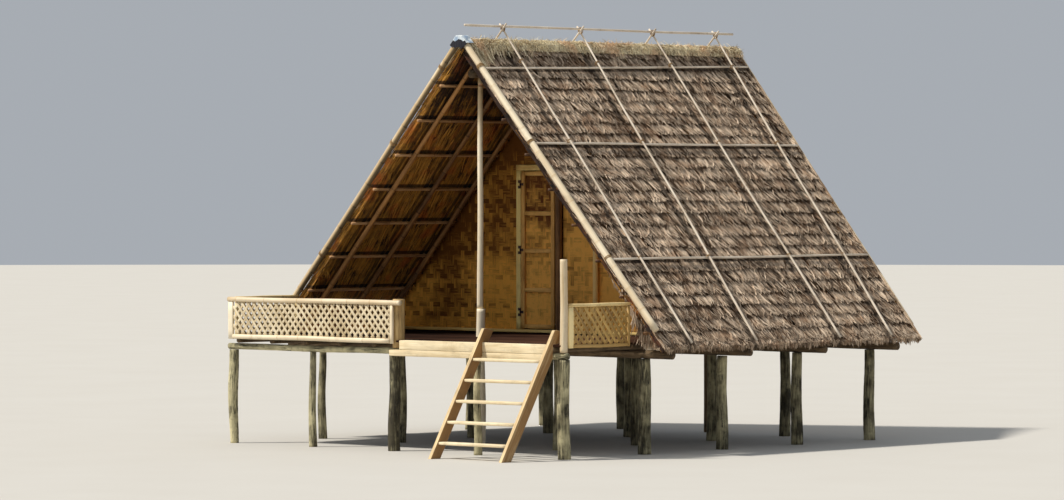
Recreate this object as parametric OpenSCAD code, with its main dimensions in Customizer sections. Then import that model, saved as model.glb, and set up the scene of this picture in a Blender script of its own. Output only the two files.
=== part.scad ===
// Thatched A-frame house on stilts, with an open veranda, a plank stair and one hinged door.
// X runs across the front, Y runs from the veranda to the back, Z is up, all in millimetres.
// The origin is the foot of the middle post of the front row.

/* [Stilts] */
// Spacing of the posts across the house
bay_x = 1250; // [1000:10:1500]
// Spacing of the post rows from front to back
bay_y = 1330; // [1150:10:1500]
// Diameter of a post at the ground
post_d = 145; // [110:1:170]
// Diameter lost between a post's foot and its head
post_taper = 25; // [0:1:40]
// Height of the post heads, which carry the cross beams
post_top_z = 1040; // [800:5:1400]

/* [Floor] */
// Diameter of a cross beam
beam_d = 100; // [80:1:130]
// Diameter of the front cross beam
front_beam_d = 76; // [60:1:80]
// Diameter of a joist
joist_d = 60; // [45:1:80]
// Distance of the outer joists from the floor's side edges
joist_edge = 120; // [90:5:300]
// Thickness of the split bamboo floor
floor_t = 30; // [20:1:45]
// Reach of the floor past the middle of the front beam
floor_front = 50; // [40:1:70]
// Height of the pair of fascia boards
fascia_h = 180; // [140:1:190]
// Thickness of a fascia board
fascia_t = 25; // [18:1:35]
// Height of the upper fascia board
fascia_upper_h = 108; // [70:1:110]

/* [Roof] */
// Height of the thatch at the ridge
ridge_z = 4530; // [4300:10:4800]
// Angle of the roof slopes
roof_angle = 48.4; // [46:0.1:50]
// Height of the thatch tips at the eaves
eave_z = 1160; // [1145:1:1250]
// Distance of the front verge from the front posts
verge_front = 1120; // [1080:5:1180]
// Reach of the rear verge past the last posts, at the ridge
rear_reach = 660; // [480:10:800]
// How far the rear verge leans forward from ridge to eave
verge_lean = 300; // [0:10:320]
// Thickness of the thatch
thatch_t = 82; // [70:1:130]
// Length of one thatch course down the slope
course_pitch = 170; // [150:5:200]
// Depth of the step at the edge of a course
course_step = 18; // [8:1:30]
// Diameter of a purlin
purlin_d = 36; // [28:1:45]
// Number of purlins on a slope
purlin_count = 8; // [6:1:9]
// Reach of the purlins past the front verge
purlin_reach = 40; // [0:1:60]
// Distance of the first purlin from the ridge, down the slope
purlin_first = 560; // [500:5:600]
// Spacing of the purlins down the slope
purlin_pitch = 519; // [420:1:530]
// Diameter of a rafter
rafter_d = 64; // [50:1:80]
// Diameter of the ridge pole
ridge_pole_d = 100; // [80:1:120]
// Diameter of the plate pole that carries the rafter feet
plate_d = 80; // [60:1:95]
// Diameter of the pole under the thatch tips
eave_pole_d = 50; // [35:1:60]
// Diameter of a barge pole
barge_d = 78; // [55:1:90]
// How far the middle of a front barge pole lies in front of the verge
barge_out = 15; // [0:1:30]
// Diameter of the thin poles at the rear verge
rear_barge_d = 36; // [24:1:60]
// Length of thatch tips below a barge pole's foot, down the slope
barge_short = 240; // [100:10:400]
// Thickness of the ridge cap over the thatch
cap_t = 80; // [50:1:90]
// Width of the ridge cap down each slope
cap_w = 120; // [100:5:300]

/* [Poles over the thatch] */
// Diameter of a level pole
level_pole_d = 28; // [20:1:36]
// Diameter of a slanting pole
slant_pole_d = 29; // [24:1:42]
// Diameter of the poles that lie in the crossings over the ridge
tip_pole_d = 30; // [22:1:38]
// Length of the slanting poles past the ridge
tip_reach = 210; // [120:5:280]
// Distance of the first slanting pole behind the front verge, at the ridge
slant_first = 680; // [500:10:800]
// Distance of the last slanting pole in front of the rear verge, at the ridge
slant_last = 420; // [350:10:600]
// How far the first and third slanting poles lean back from foot to crossing
slant_lean_odd = 240; // [0:10:400]
// How far the second and fourth slanting poles lean back from foot to crossing
slant_lean_even = 450; // [0:10:500]
// How much lower down the slope the first level pole lies at the front than at the back
level_lean = 130; // [0:5:160]

/* [Stair] */
// Gap between the stair and the tall post at the corner
stair_gap = 41; // [20:1:150]
// Width of the stair over its stringers
stair_w = 1063; // [850:1:1063]
// Thickness of a stringer
stringer_t = 42; // [30:1:55]
// Depth of a stringer
stringer_depth = 130; // [110:1:150]
// Angle of the stair
stair_angle = 58.4; // [54:0.1:62]
// Height of the stringer tops over the floor
stringer_rise = 150; // [100:5:200]
// Number of treads
tread_count = 5; // [4:1:5]
// How far the stringers stand out in front of the fascia boards, at the floor
stringer_out = 64; // [40:1:90]
// Height of the first tread's middle
tread_first = 165; // [140:1:200]
// Height from one tread to the next
tread_pitch = 221; // [200:1:230]
// Thickness of a tread
tread_t = 38; // [28:1:50]
// Depth of a tread
tread_depth = 90; // [70:1:110]

/* [Railings] */
// Height of the railings over the floor
rail_h = 435; // [380:5:520]
// Diameter of the top and bottom rails in front
rail_d = 58; // [44:1:66]
// Diameter of the top and bottom rails at the sides
side_rail_d = 40; // [36:1:66]
// Width of a stile
stile_w = 80; // [50:1:90]
// Thickness of a stile
stile_t = 34; // [24:1:40]
// Thickness of the lattice
lattice_t = 14; // [8:1:20]
// Width of a lattice strip in front
strip_w = 25; // [18:1:36]
// Width of a lattice strip at the sides
side_strip_w = 34; // [18:1:38]
// Width of a lattice diamond
diamond_w = 88; // [80:1:110]
// Height of a lattice diamond
diamond_h = 102; // [90:1:120]
// Length of the front railing
front_rail_len = 2570; // [2300:10:2600]
// How far the front railing's top rail passes its last stile
rail_over = 110; // [0:5:130]
// Gap between a side railing and the barge pole behind it
side_rail_gap = 10; // [5:1:150]
// Diameter of the post at the inner end of the front railing
rail_post_d = 140; // [100:1:150]
// Height of that post over the railing
rail_post_over = 10; // [5:1:80]
// Diameter of the tall post at the stair corner
newel_d = 88; // [80:1:110]
// Height of the tall post over the floor
newel_h = 910; // [700:10:1100]

/* [Walls and door] */
// Diameter of the walls' tall posts
king_d = 84; // [75:1:110]
// Diameter of the veranda's tall post over its lower piece
veranda_king_d = 74; // [60:1:90]
// Diameter lost by the veranda's tall post towards its head
king_taper = 15; // [0:1:30]
// Diameter of the thicker lower piece of the veranda's tall post
king_low_d = 104; // [90:1:120]
// Height of that lower piece
king_low_h = 1540; // [1300:10:2200]
// Thickness of the woven walls
wall_t = 20; // [12:1:30]
// Diameter of a wall stud
stud_d = 66; // [50:1:80]
// Place of the front wall's right stud from the middle
stud_x = 560; // [450:5:800]
// Height of the wall sills
sill_h = 40; // [25:1:55]
// Depth of the wall sills and of the door frame
frame_depth = 60; // [50:1:66]
// Width of the door leaf
door_w = 505; // [450:5:600]
// Height of the door leaf
door_h = 1810; // [1600:5:1850]
// Thickness of the door leaf
door_t = 32; // [24:1:36]
// Gap round the door leaf
door_gap = 8; // [6:0.5:12]
// Width of the door frame's jamb and lintel
jamb_w = 70; // [50:1:90]
// Width of the leaf's stiles and rails
leaf_rail_w = 52; // [40:1:70]
// Heights of the leaf's three middle rails over its foot
leaf_rail_1 = 420; // [380:5:460]
leaf_rail_2 = 870; // [820:5:920]
leaf_rail_3 = 1300; // [1250:5:1350]
// Thickness of the woven panel in the leaf
leaf_panel_t = 10; // [6:1:14]
// Radius of a hinge pin
pin_r = 4; // [3:0.5:5]
// Outer radius of a hinge knuckle
knuckle_r = 8; // [7:0.5:10]
// Length of a hinge
hinge_h = 96; // [72:3:120]
// Distance of the lowest hinge's middle over the leaf's foot
hinge_low = 190; // [150:5:300]
// Distance of the highest hinge's middle under the leaf's head
hinge_high = 150; // [120:5:300]

/* [Hidden] */

// Clearance at which one piece seats on another
seat = 0.3;
// Clearance of a hinge pin in its knuckle
pin_fit = 0.05;
// Facets of round pieces
$fn = 48;

columns = 5;
rows = 5;
verge_rear = (rows - 1) * bay_y + rear_reach;
half_cols = (columns - 1) / 2;
half_w = half_cols * bay_x;
beam_z = post_top_z + seat + beam_d / 2;
beam_top = beam_z + beam_d / 2;
joist_z = beam_top + seat + joist_d / 2;
joist_pitch = (half_w - joist_edge) / 4.5;
floor_z = joist_z + joist_d / 2 + seat;
deck_z = floor_z + floor_t;
front_beam_z = beam_top - front_beam_d / 2;
front_beam_out = 60;
front_post_top = front_beam_z - front_beam_d / 2 - seat;
// The heads of the front stilts stand clear of the back of the fascia boards
front_post_gap = 2;
front_post_y = (post_d - post_taper) / 2 + front_post_gap - floor_front;
king_behind = beam_d / 2 + king_d / 2 + seat;
veranda_king_y = bay_y + beam_d / 2 + king_low_d / 2 + seat;
// Share of the post diameter that each stilt of the two front rows has, from left to right
row_1_shares = [0.95, 0.68, 1, 0.68, 1.05];
row_2_shares = [0.75, 0.75, 1, 0.95, 1.1];
// How far the two left stilts of the second row stand towards the middle
row_2_shift = 120;
wall_y = 2 * bay_y + king_behind;
rear_king_y = (rows - 1) * bay_y + king_behind;
rear_wall_y = rear_king_y + king_d / 2 + seat;
floor_rear = rear_wall_y + wall_t + 20;

// The roof's frame of reference: s runs down the slope from the ridge, n runs down into the roof
slope_cos = cos(roof_angle);
slope_sin = sin(roof_angle);
slope_tan = tan(roof_angle);
purlin_n = thatch_t + seat + purlin_d / 2;
rafter_n = thatch_t + seat + purlin_d + seat + rafter_d / 2;
wall_n = rafter_n - rafter_d / 2 + seat;
function roof_x(s, n) = s * slope_cos - n * slope_sin;
function roof_z(s, n) = ridge_z - s * slope_sin - n * slope_cos;
function z_under(x, n) = ridge_z - n / slope_cos - x * slope_tan;
function x_under(z, n) = (ridge_z - n / slope_cos - z) / slope_tan;
function s_at_x(x, n) = (x + n * slope_sin) / slope_cos;
ridge_pole_z = ridge_z - rafter_n / slope_cos - (rafter_d / 2 + ridge_pole_d / 2 + seat) / slope_cos;
king_top = ridge_pole_z - ridge_pole_d / 2 - seat;
plate_z = beam_top + seat + plate_d / 2;
plate_x = x_under(plate_z, rafter_n) - (rafter_d / 2 + plate_d / 2 + seat) / slope_sin;
eave_pole_z = beam_top + seat + eave_pole_d / 2;
eave_pole_x = x_under(eave_pole_z, thatch_t) - (eave_pole_d / 2 + seat) / slope_sin;
beam_half = eave_pole_x + 60;
slope_len = (ridge_z - eave_z) / slope_sin;
rear_y = verge_rear - verge_lean;
big = 20000;

barge_y = verge_front - barge_out;
// The pole rests on the upper front edge of the thatch
barge_n = -sqrt(pow(barge_d / 2 + seat, 2) - pow(barge_out, 2));
cap_flat = cap_t * 0.9;
cap_y0 = barge_y + barge_d / 2 + seat;
cap_y1 = verge_rear - 20;
// The sheet's length from front to back and its reach down the left and right slopes
sheet_w = 120;
sheet_left = 115;
sheet_right = 85;
sheet_t = 6;

// Poles over the thatch: level ones rest on course edges, slanting ones on them and on the cap
level_courses = [2, 9, 19];
level_leans = [level_lean, 0, 0];
level_n = -(level_pole_d / 2 + seat);
slant_low_s = level_courses[2] * course_pitch;
slant_low_n = -(level_pole_d + seat + seat + slant_pole_d / 2);
slant_cap_n = -(cap_t + seat + slant_pole_d / 2);
slant_rate = (slant_low_n - slant_cap_n) / (slant_low_s - cap_w);
function slant_n(s) = slant_cap_n + (s - cap_w) * slant_rate;
slant_foot_s = slope_len - 60;
slant_dx = slope_cos - slant_rate * slope_sin;
slant_dz = slope_sin + slant_rate * slope_cos;
crossing_s = slant_n(0) * slope_sin / slant_dx;
crossing_z = roof_z(crossing_s, slant_n(crossing_s));
slant_pitch = (verge_rear - verge_front - slant_first - slant_last) / 3;
slant_leans = [slant_lean_odd, slant_lean_even, slant_lean_odd, slant_lean_even];
// How far each slanting pole lies behind its even place
slant_shifts = [0, 75, 100, 0];
function slant_y(i) = verge_front + slant_first + i * slant_pitch + slant_shifts[i];
tip_pole_rear = 100;

// Stair: the stringers hook over the floor's front edge
front_face = -floor_front;
fascia_face = front_face - seat - fascia_t;
stringer_top_z = deck_z + stringer_rise;
stair_run = 1 / tan(stair_angle);
stringer_y_depth = stringer_depth / sin(stair_angle);
stair_x = half_w - newel_d / 2 - stair_gap - stair_w / 2;
stringer_front_top = fascia_face - stringer_out;
function stringer_front(z) = stringer_front_top + (z - deck_z) * stair_run;

// Railings
rail_top_z = deck_z + rail_h;
rail_low_z = deck_z - floor_t / 2 - rail_d / 2;
rail_face = front_face - seat;
side_face = half_w + seat;
newel_y = 0;
side_rail_y0 = newel_d / 2 + 5;
side_rail_len = barge_y - barge_d / 2 - side_rail_gap - side_rail_y0;
front_rail_end = -half_w + front_rail_len;
front_end_w = 48;
side_end_w = 32;
mid_post_x = front_rail_end - 10;
fascia_up_x = front_rail_end + 84;
fascia_low_x = front_rail_end - 70;
mid_post_y = rail_post_d / 2 - floor_front;

// Door
king_left = -king_d / 2;
leaf_x1 = king_left - door_gap;
leaf_x0 = leaf_x1 - door_w;
hinge_x = leaf_x0 - door_gap / 2;
jamb_x1 = leaf_x0 - door_gap;
jamb_x0 = jamb_x1 - jamb_w;
leaf_z0 = deck_z + sill_h + door_gap;
leaf_z1 = leaf_z0 + door_h;
lintel_z = leaf_z1 + door_gap;
frame_y0 = wall_y - frame_depth / 2;
leaf_y0 = frame_y0;
knuckle_free = 1;
hinge_y = frame_y0 - knuckle_r - knuckle_free;
plate_t = 4;
hinge_zs = [leaf_z0 + hinge_low, leaf_z0 + door_h / 2, leaf_z1 - hinge_high];
wall_panel_y = wall_y + max(stud_d, frame_depth) / 2 + seat;
panel_x0 = sqrt(pow(king_d / 2, 2) - pow(wall_panel_y - wall_y, 2)) + 3;

bamboo = "#e6d3a8";
log = "#9c8f78";
straw = "#8f7a60";
mat = "#9a6f33";

// A round pole from one point to another
module pole(p, q, d, d2 = 0) {
    v = q - p;
    len = norm(v);
    translate(p)
        rotate([0, acos(v[2] / len), atan2(v[1], v[0])])
            cylinder(h = len, d1 = d, d2 = d2 > 0 ? d2 : d);
}

// A stilt that stands on the ground and is a little thinner at its head
module stilt(x, y, top, d = post_d) {
    translate([x, y, 0])
        cylinder(h = top, d1 = d, d2 = d - post_taper);
}

module stilt_row(row, xs) {
    for (x = xs)
        stilt(x * bay_x, row * bay_y, post_top_z);
}

module posts_row_1() {
    color(log)
        for (x = [-2 : 2])
            stilt(x * bay_x, front_post_y, front_post_top, post_d * row_1_shares[x + 2]);
}

module posts_row_2() {
    color(log)
        for (x = [-2, -1, 1, 2])
            stilt(x * bay_x + (x < 0 ? row_2_shift : 0), bay_y, post_top_z, post_d * row_2_shares[x + 2]);
}

module rear_posts() {
    color(log) {
        stilt_row(2, [-2, -1, 1, 2]);
        stilt_row(3, [-2, -1, 0, 1, 2]);
        stilt_row(4, [-2, -1, 1, 2]);
    }
}

module king_post(y) {
    translate([0, y, 0])
        cylinder(h = king_top, d = king_d);
}

module veranda_king_post() {
    color(bamboo)
        translate([0, veranda_king_y, 0]) {
            cylinder(h = king_low_h, d = king_low_d);
            translate([0, 0, king_low_h])
                cylinder(h = king_top - king_low_h, d1 = veranda_king_d, d2 = veranda_king_d - king_taper);
        }
}

module wall_king_posts() {
    color(log) {
        king_post(wall_y);
        king_post(rear_king_y);
    }
}

module cross_beams() {
    color(log) {
        pole([-half_w - front_beam_out, 0, front_beam_z],
             [half_w + front_beam_out, 0, front_beam_z], front_beam_d);
        for (row = [1 : rows - 1])
            pole([-beam_half, row * bay_y, beam_z], [beam_half, row * bay_y, beam_z], beam_d);
    }
}

module floor_joists() {
    color(log)
        for (side = [-1, 1])
            for (i = [0 : 4]) {
                x = side * joist_pitch * (i + 0.5);
                pole([x, -floor_front + 5, joist_z], [x, floor_rear - 10, joist_z], joist_d);
            }
}

module floor_panel(y0, y1) {
    translate([-half_w, y0, floor_z])
        cube([2 * half_w, y1 - y0, floor_t]);
}

module post_hole(x, y, d) {
    translate([x, y, 0])
        cylinder(h = big, d = d + 4);
}

module veranda_floor() {
    color(bamboo)
        difference() {
            floor_panel(-floor_front, wall_y);
            post_hole(0, veranda_king_y, king_low_d);
            post_hole(0, wall_y, king_d);
            post_hole(mid_post_x, mid_post_y, rail_post_d);
            post_hole(half_w, newel_y, newel_d);
        }
}

module room_floor() {
    color(bamboo)
        difference() {
            floor_panel(wall_y + seat, floor_rear);
            post_hole(0, wall_y, king_d);
            post_hole(0, rear_king_y, king_d);
        }
}

module fascia_boards() {
    x1 = stair_x + stair_w / 2 - stringer_t - 10;
    color(bamboo) {
        translate([fascia_up_x, fascia_face, deck_z - fascia_upper_h])
            cube([x1 - fascia_up_x, fascia_t, fascia_upper_h]);
        translate([fascia_low_x, fascia_face, deck_z - fascia_h])
            cube([x1 - fascia_low_x, fascia_t, fascia_h - fascia_upper_h - seat]);
    }
}

module stringer(x) {
    foot_y = stringer_front(0);
    top_y = stringer_front(stringer_top_z);
    color(bamboo)
        difference() {
            translate([x, 0, 0])
                rotate([90, 0, 90])
                    linear_extrude(stringer_t)
                        polygon([
                            [foot_y, 0],
                            [foot_y + stringer_y_depth, 0],
                            [top_y + stringer_y_depth, stringer_top_z - 25],
                            [top_y + 45, stringer_top_z],
                            [top_y, stringer_top_z]
                        ]);
            translate([x - 10, fascia_face - seat, -10])
                cube([stringer_t + 20, big, deck_z + 10 + seat]);
        }
}

module stair_stringers() {
    stringer(stair_x - stair_w / 2);
    stringer(stair_x + stair_w / 2 - stringer_t);
}

module stair_treads() {
    x0 = stair_x - stair_w / 2 + stringer_t + seat;
    w = stair_w - 2 * stringer_t - 2 * seat;
    color(bamboo)
        for (i = [0 : tread_count - 1]) {
            z = tread_first + i * tread_pitch;
            translate([x0, stringer_front(z) + 12, z - tread_t / 2])
                cube([w, tread_depth, tread_t]);
        }
}

// A railing panel, drawn along X from the origin, with its back face on Y = 0
module railing_frame(len, w1, d, over) {
    z0 = rail_low_z + d / 2;
    z1 = rail_top_z - d / 2;
    y = -d / 2;
    color(bamboo) {
        pole([0, y, z1], [len + over, y, z1], d);
        pole([stile_w + seat, y, z0], [len - w1 - seat, y, z0], d);
        for (end = [[0, stile_w], [len - w1, w1]])
            translate([end[0], y - stile_t / 2, rail_low_z])
                cube([end[1], stile_t, z1 - d / 2 - seat - rail_low_z]);
    }
}

module lattice_strips(len, h, lean, strip) {
    slope = atan2(diamond_h, diamond_w);
    run = h * diamond_w / diamond_h;
    count = ceil((len + run) / diamond_w) + 1;
    for (i = [1 : count])
        translate([i * diamond_w - run, 0])
            rotate(lean * slope)
                translate([-strip, -strip / 2])
                    square([norm([h, run]) + 2 * strip, strip]);
}

module railing_lattice(len, w1, d, strip) {
    z0 = rail_low_z + d + seat;
    z1 = rail_top_z - d - seat;
    w = len - stile_w - w1 - 2 * seat;
    h = z1 - z0;
    color("#d9cb9c")
        translate([stile_w + seat, -d / 2 + lattice_t / 2, z0])
            rotate([90, 0, 0])
                linear_extrude(lattice_t)
                    intersection() {
                        square([w, h]);
                        union() {
                            lattice_strips(w, h, 1, strip);
                            translate([0, h]) lattice_strips(w, h, -1, strip);
                        }
                    }
}

module at_front_railing() {
    translate([-half_w, rail_face, 0]) children();
}

module at_right_railing() {
    translate([side_face, side_rail_y0, 0]) rotate(90) children();
}

module front_railing_frame() {
    at_front_railing() railing_frame(front_rail_len, front_end_w, rail_d, rail_over);
}

module front_railing_lattice() {
    at_front_railing() railing_lattice(front_rail_len, front_end_w, rail_d, strip_w);
}

module right_railing_frame() {
    at_right_railing() railing_frame(side_rail_len, side_end_w, side_rail_d, 0);
}

module right_railing_lattice() {
    at_right_railing() railing_lattice(side_rail_len, side_end_w, side_rail_d, side_strip_w);
}

module left_railing_frame() {
    mirror([1, 0, 0]) right_railing_frame();
}

module left_railing_lattice() {
    mirror([1, 0, 0]) right_railing_lattice();
}

module middle_rail_post() {
    color(log)
        translate([mid_post_x, mid_post_y, beam_top + seat])
            cylinder(h = rail_top_z + rail_post_over - beam_top - seat, d = rail_post_d);
}

module corner_newel() {
    color(bamboo)
        translate([half_w, newel_y, beam_top + seat])
            cylinder(h = deck_z + newel_h - beam_top - seat, d = newel_d);
}

module sill(x0, x1, y) {
    translate([x0, y - frame_depth / 2, deck_z + seat])
        cube([x1 - x0, frame_depth, sill_h - seat]);
}

module wall_sills() {
    reach = x_under(deck_z + sill_h, wall_n) - 60;
    edge = min(reach, half_w - 10);
    color(bamboo)
        for (y = [wall_y, rear_king_y]) {
            sill(-edge, -king_d / 2 - 2, y);
            sill(king_d / 2 + 2, edge, y);
        }
}

// A woven wall between two distances from the middle, under the purlins of one slope
module wall_panel(x0, x1, z0) {
    top = min(king_top, z_under(x0, wall_n));
    color(mat)
        translate([0, wall_panel_y + wall_t, 0])
            rotate([90, 0, 0])
                linear_extrude(wall_t)
                    polygon([
                        [x0, z0], [x1, z0], [x1, z_under(x1, wall_n)],
                        [x_under(top, wall_n), top], [x0, top]
                    ]);
}

module front_wall_left() {
    mirror([1, 0, 0]) wall_panel(-jamb_x0 - jamb_w + 2, half_w - 5, deck_z + seat);
}

module front_wall_right() {
    wall_panel(panel_x0, half_w - 5, deck_z + seat);
}

module front_wall_over_door() {
    mirror([1, 0, 0]) wall_panel(panel_x0, -jamb_x0 - jamb_w + 2 - seat, lintel_z + 2);
}

module rear_wall() {
    z0 = deck_z + seat;
    z1 = king_top;
    x0 = min(half_w - 5, x_under(z0, wall_n));
    x1 = x_under(z1, wall_n);
    zx = z_under(x0, wall_n);
    color(mat)
        translate([0, rear_wall_y + wall_t, 0])
            rotate([90, 0, 0])
                linear_extrude(wall_t)
                    polygon([[-x0, z0], [x0, z0], [x0, zx], [x1, z1], [-x1, z1], [-x0, zx]]);
}

module stud(x, y) {
    z0 = deck_z + sill_h + seat;
    translate([x, y, z0])
        cylinder(h = z_under(abs(x) + stud_d / 2, wall_n) - z0, d = stud_d);
}

module wall_studs() {
    color(log) {
        stud(stud_x, wall_y);
        for (x = [-bay_x, bay_x])
            stud(x, rear_wall_y - seat - stud_d / 2);
    }
}

module door_frame() {
    color(bamboo) {
        translate([jamb_x0, frame_y0, deck_z + sill_h + seat])
            cube([jamb_w, frame_depth, lintel_z - deck_z - sill_h - 2 * seat]);
        translate([jamb_x0, frame_y0, lintel_z])
            cube([king_left - seat - jamb_x0, frame_depth, jamb_w]);
    }
}

// The fixed half of a hinge: a plate on the jamb, two knuckles and the pin
module jamb_hinge(z) {
    third = hinge_h / 3;
    translate([hinge_x, hinge_y, z - hinge_h / 2]) {
        for (i = [0, 2])
            translate([0, 0, i * third])
                cylinder(h = third, r = knuckle_r);
        cylinder(h = hinge_h, r = pin_r);
        for (i = [0, 2])
            translate([-knuckle_r - 30, knuckle_r + knuckle_free - seat - plate_t, i * third])
                cube([knuckle_r + 30, plate_t, third]);
    }
}

module jamb_hinges() {
    color("#3a3230")
        for (z = hinge_zs)
            jamb_hinge(z);
}

module leaf_hinge(z) {
    third = hinge_h / 3;
    gap = 1;
    translate([hinge_x, hinge_y, z - third / 2 + gap])
        difference() {
            union() {
                cylinder(h = third - 2 * gap, r = knuckle_r);
                translate([0, knuckle_r + knuckle_free - seat - plate_t, 0])
                    cube([knuckle_r + 34, plate_t, third - 2 * gap]);
            }
            translate([0, 0, -1])
                cylinder(h = third, r = pin_r + pin_fit);
        }
}

module leaf_hinges() {
    color("#3a3230")
        for (z = hinge_zs)
            leaf_hinge(z);
}

module door_leaf_frame() {
    rails = concat([leaf_z0], [for (h = [leaf_rail_1, leaf_rail_2, leaf_rail_3]) leaf_z0 + h],
                   [leaf_z1 - leaf_rail_w]);
    color("#b08a4a")
        difference() {
            translate([leaf_x0, leaf_y0, leaf_z0])
                cube([door_w, door_t, door_h]);
            for (i = [0 : len(rails) - 2])
                translate([leaf_x0 + leaf_rail_w, leaf_y0 - 10, rails[i] + leaf_rail_w])
                    cube([door_w - 2 * leaf_rail_w, door_t + 20, rails[i + 1] - rails[i] - leaf_rail_w]);
        }
}

module door_leaf_panel() {
    color(mat)
        translate([leaf_x0 + 20, leaf_y0 + door_t + seat, leaf_z0 + 20])
            cube([door_w - 40, leaf_panel_t, door_h - 40]);
}

module ridge_pole() {
    color(log)
        pole([0, bay_y - rafter_d, ridge_pole_z], [0, verge_rear - 60, ridge_pole_z], ridge_pole_d);
}

module eave_poles() {
    color(bamboo)
        for (side = [-1, 1]) {
            pole([side * plate_x, verge_front + 40, plate_z],
                 [side * plate_x, rear_y - 40, plate_z], plate_d);
            pole([side * eave_pole_x, verge_front + 20, eave_pole_z],
                 [side * eave_pole_x, rear_y - 20, eave_pole_z], eave_pole_d);
        }
}

module rafter(y) {
    tail_x = eave_pole_x - eave_pole_d / 2 - 30;
    tail_s = s_at_x(tail_x, rafter_n) + 200;
    difference() {
        pole([roof_x(-200, rafter_n), y, roof_z(-200, rafter_n)],
             [roof_x(tail_s, rafter_n), y, roof_z(tail_s, rafter_n)], rafter_d);
        translate([-big + seat, -big, 0]) cube([big, 2 * big, big]);
        translate([tail_x, -big, 0]) cube([big, 2 * big, big]);
        translate([0, -big, beam_top + seat - big]) cube([big, 2 * big, big]);
    }
}

module rafters_right() {
    color("#8a5a2c")
        for (i = [2 : 2 * rows - 2])
            rafter(i * bay_y / 2);
}

module rafters_left() {
    mirror([1, 0, 0]) rafters_right();
}

module purlins_right() {
    color("#a06a34")
        for (i = [0 : purlin_count - 1]) {
            s = purlin_first + i * purlin_pitch;
            x = roof_x(s, purlin_n);
            z = roof_z(s, purlin_n);
            rear = verge_rear - verge_lean * s / slope_len - 60;
            pole([x, verge_front - purlin_reach, z], [x, rear, z], purlin_d);
        }
}

module purlins_left() {
    mirror([1, 0, 0]) purlins_right();
}

// One slope of thatch: stepped courses, plumb at the ridge, level at the eaves
module thatch_right() {
    courses = ceil(slope_len / course_pitch) + 2;
    top = [for (k = [0 : courses], e = [0, 1])
        let (s = k * course_pitch, n = e == 0 ? 0 : course_step)
            [roof_x(s, n), roof_z(s, n)]];
    low = [for (s = [courses * course_pitch, -200])
        [roof_x(s, thatch_t), roof_z(s, thatch_t)]];
    lean = atan(verge_lean / (ridge_z - eave_z));
    color(straw)
        difference() {
            translate([0, verge_rear, 0])
                rotate([90, 0, 0])
                    linear_extrude(verge_rear - verge_front)
                        intersection() {
                            polygon(concat([[roof_x(-200, 0), roof_z(-200, 0)]], top, low));
                            translate([seat / 2, eave_z]) square(big);
                        }
            translate([-10, verge_rear, ridge_z])
                rotate([-lean, 0, 0])
                    translate([0, 0, -big / 2]) cube([big, big, big]);
        }
}

module thatch_left() {
    mirror([1, 0, 0]) thatch_right();
}

// The cap of loose straw that is folded over the ridge
module ridge_cap() {
    n = -cap_t;
    flat_z = ridge_z + cap_flat;
    outer = [[roof_x(cap_w, -seat), roof_z(cap_w, -seat)], [roof_x(cap_w, n), roof_z(cap_w, n)]];
    color("#c9ae7c")
        translate([0, cap_y1, 0])
            rotate([90, 0, 0])
                linear_extrude(cap_y1 - cap_y0)
                    intersection() {
                        polygon([
                            [0, roof_z(0, 0) + seat / slope_cos], outer[0], outer[1],
                            [0, ridge_z + cap_t / slope_cos],
                            [-outer[1][0], outer[1][1]], [-outer[0][0], outer[0][1]]
                        ]);
                        translate([-big / 2, flat_z - big]) square(big);
                    }
}

module barge(y0, y1, d, n, foot) {
    difference() {
        pole([roof_x(-150, n), y0, roof_z(-150, n)],
             [roof_x(foot, n), y1, roof_z(foot, n)], d);
        translate([-big + seat, -big, 0]) cube([big, 2 * big, big]);
        translate([-big / 2, -big, ridge_z + cap_flat]) cube([big, 2 * big, big]);
    }
}

// Place of a thin pole's middle behind the leaning rear end of the thatch
function rear_barge_y(s) = verge_rear
    - (ridge_z - roof_z(s, rear_barge_d / 2)) * verge_lean / (ridge_z - eave_z)
    + (rear_barge_d / 2 + seat) / cos(atan(verge_lean / (ridge_z - eave_z)));

module barge_poles() {
    foot = slope_len - barge_short;
    color(bamboo)
        for (side = [0, 1])
            mirror([side, 0, 0]) {
                barge(barge_y, barge_y, barge_d, barge_n, foot);
                barge(rear_barge_y(-150), rear_barge_y(foot), rear_barge_d, rear_barge_d / 2, foot);
            }
}

module slanting_pole(y, lean, shift) {
    foot = [roof_x(slant_foot_s, slant_n(slant_foot_s)), y - lean + shift,
            roof_z(slant_foot_s, slant_n(slant_foot_s))];
    tip = [roof_x(-tip_reach, slant_n(-tip_reach)), y + shift,
           roof_z(-tip_reach, slant_n(-tip_reach))];
    pole(foot, tip, slant_pole_d);
}

module slanting_poles() {
    shift = slant_pole_d / 2 + 1;
    color(bamboo)
        for (i = [0 : 3]) {
            y = slant_y(i);
            slanting_pole(y, slant_leans[i], shift);
            mirror([1, 0, 0]) slanting_pole(y, slant_leans[i], -shift);
        }
}

module level_poles() {
    color(bamboo)
        for (side = [-1, 1])
            for (i = [0 : 2]) {
                s = level_courses[i] * course_pitch;
                s0 = s + level_leans[i] / 2;
                s1 = s - level_leans[i] / 2;
                rear = verge_rear - verge_lean * s / slope_len - 40;
                pole([side * roof_x(s0, level_n), verge_front + 60, roof_z(s0, level_n)],
                     [side * roof_x(s1, level_n), rear, roof_z(s1, level_n)], level_pole_d);
            }
}

module ridge_tip_poles() {
    z = crossing_z + (slant_pole_d / 2 + tip_pole_d / 2 + seat) * norm([slant_dx, slant_dz]) / slant_dx;
    joint = slant_y(1);
    color(bamboo) {
        pole([0, verge_front + 40, z], [0, joint - seat, z], tip_pole_d);
        pole([0, joint + seat, z], [0, verge_rear - tip_pole_rear, z], tip_pole_d);
    }
}

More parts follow.
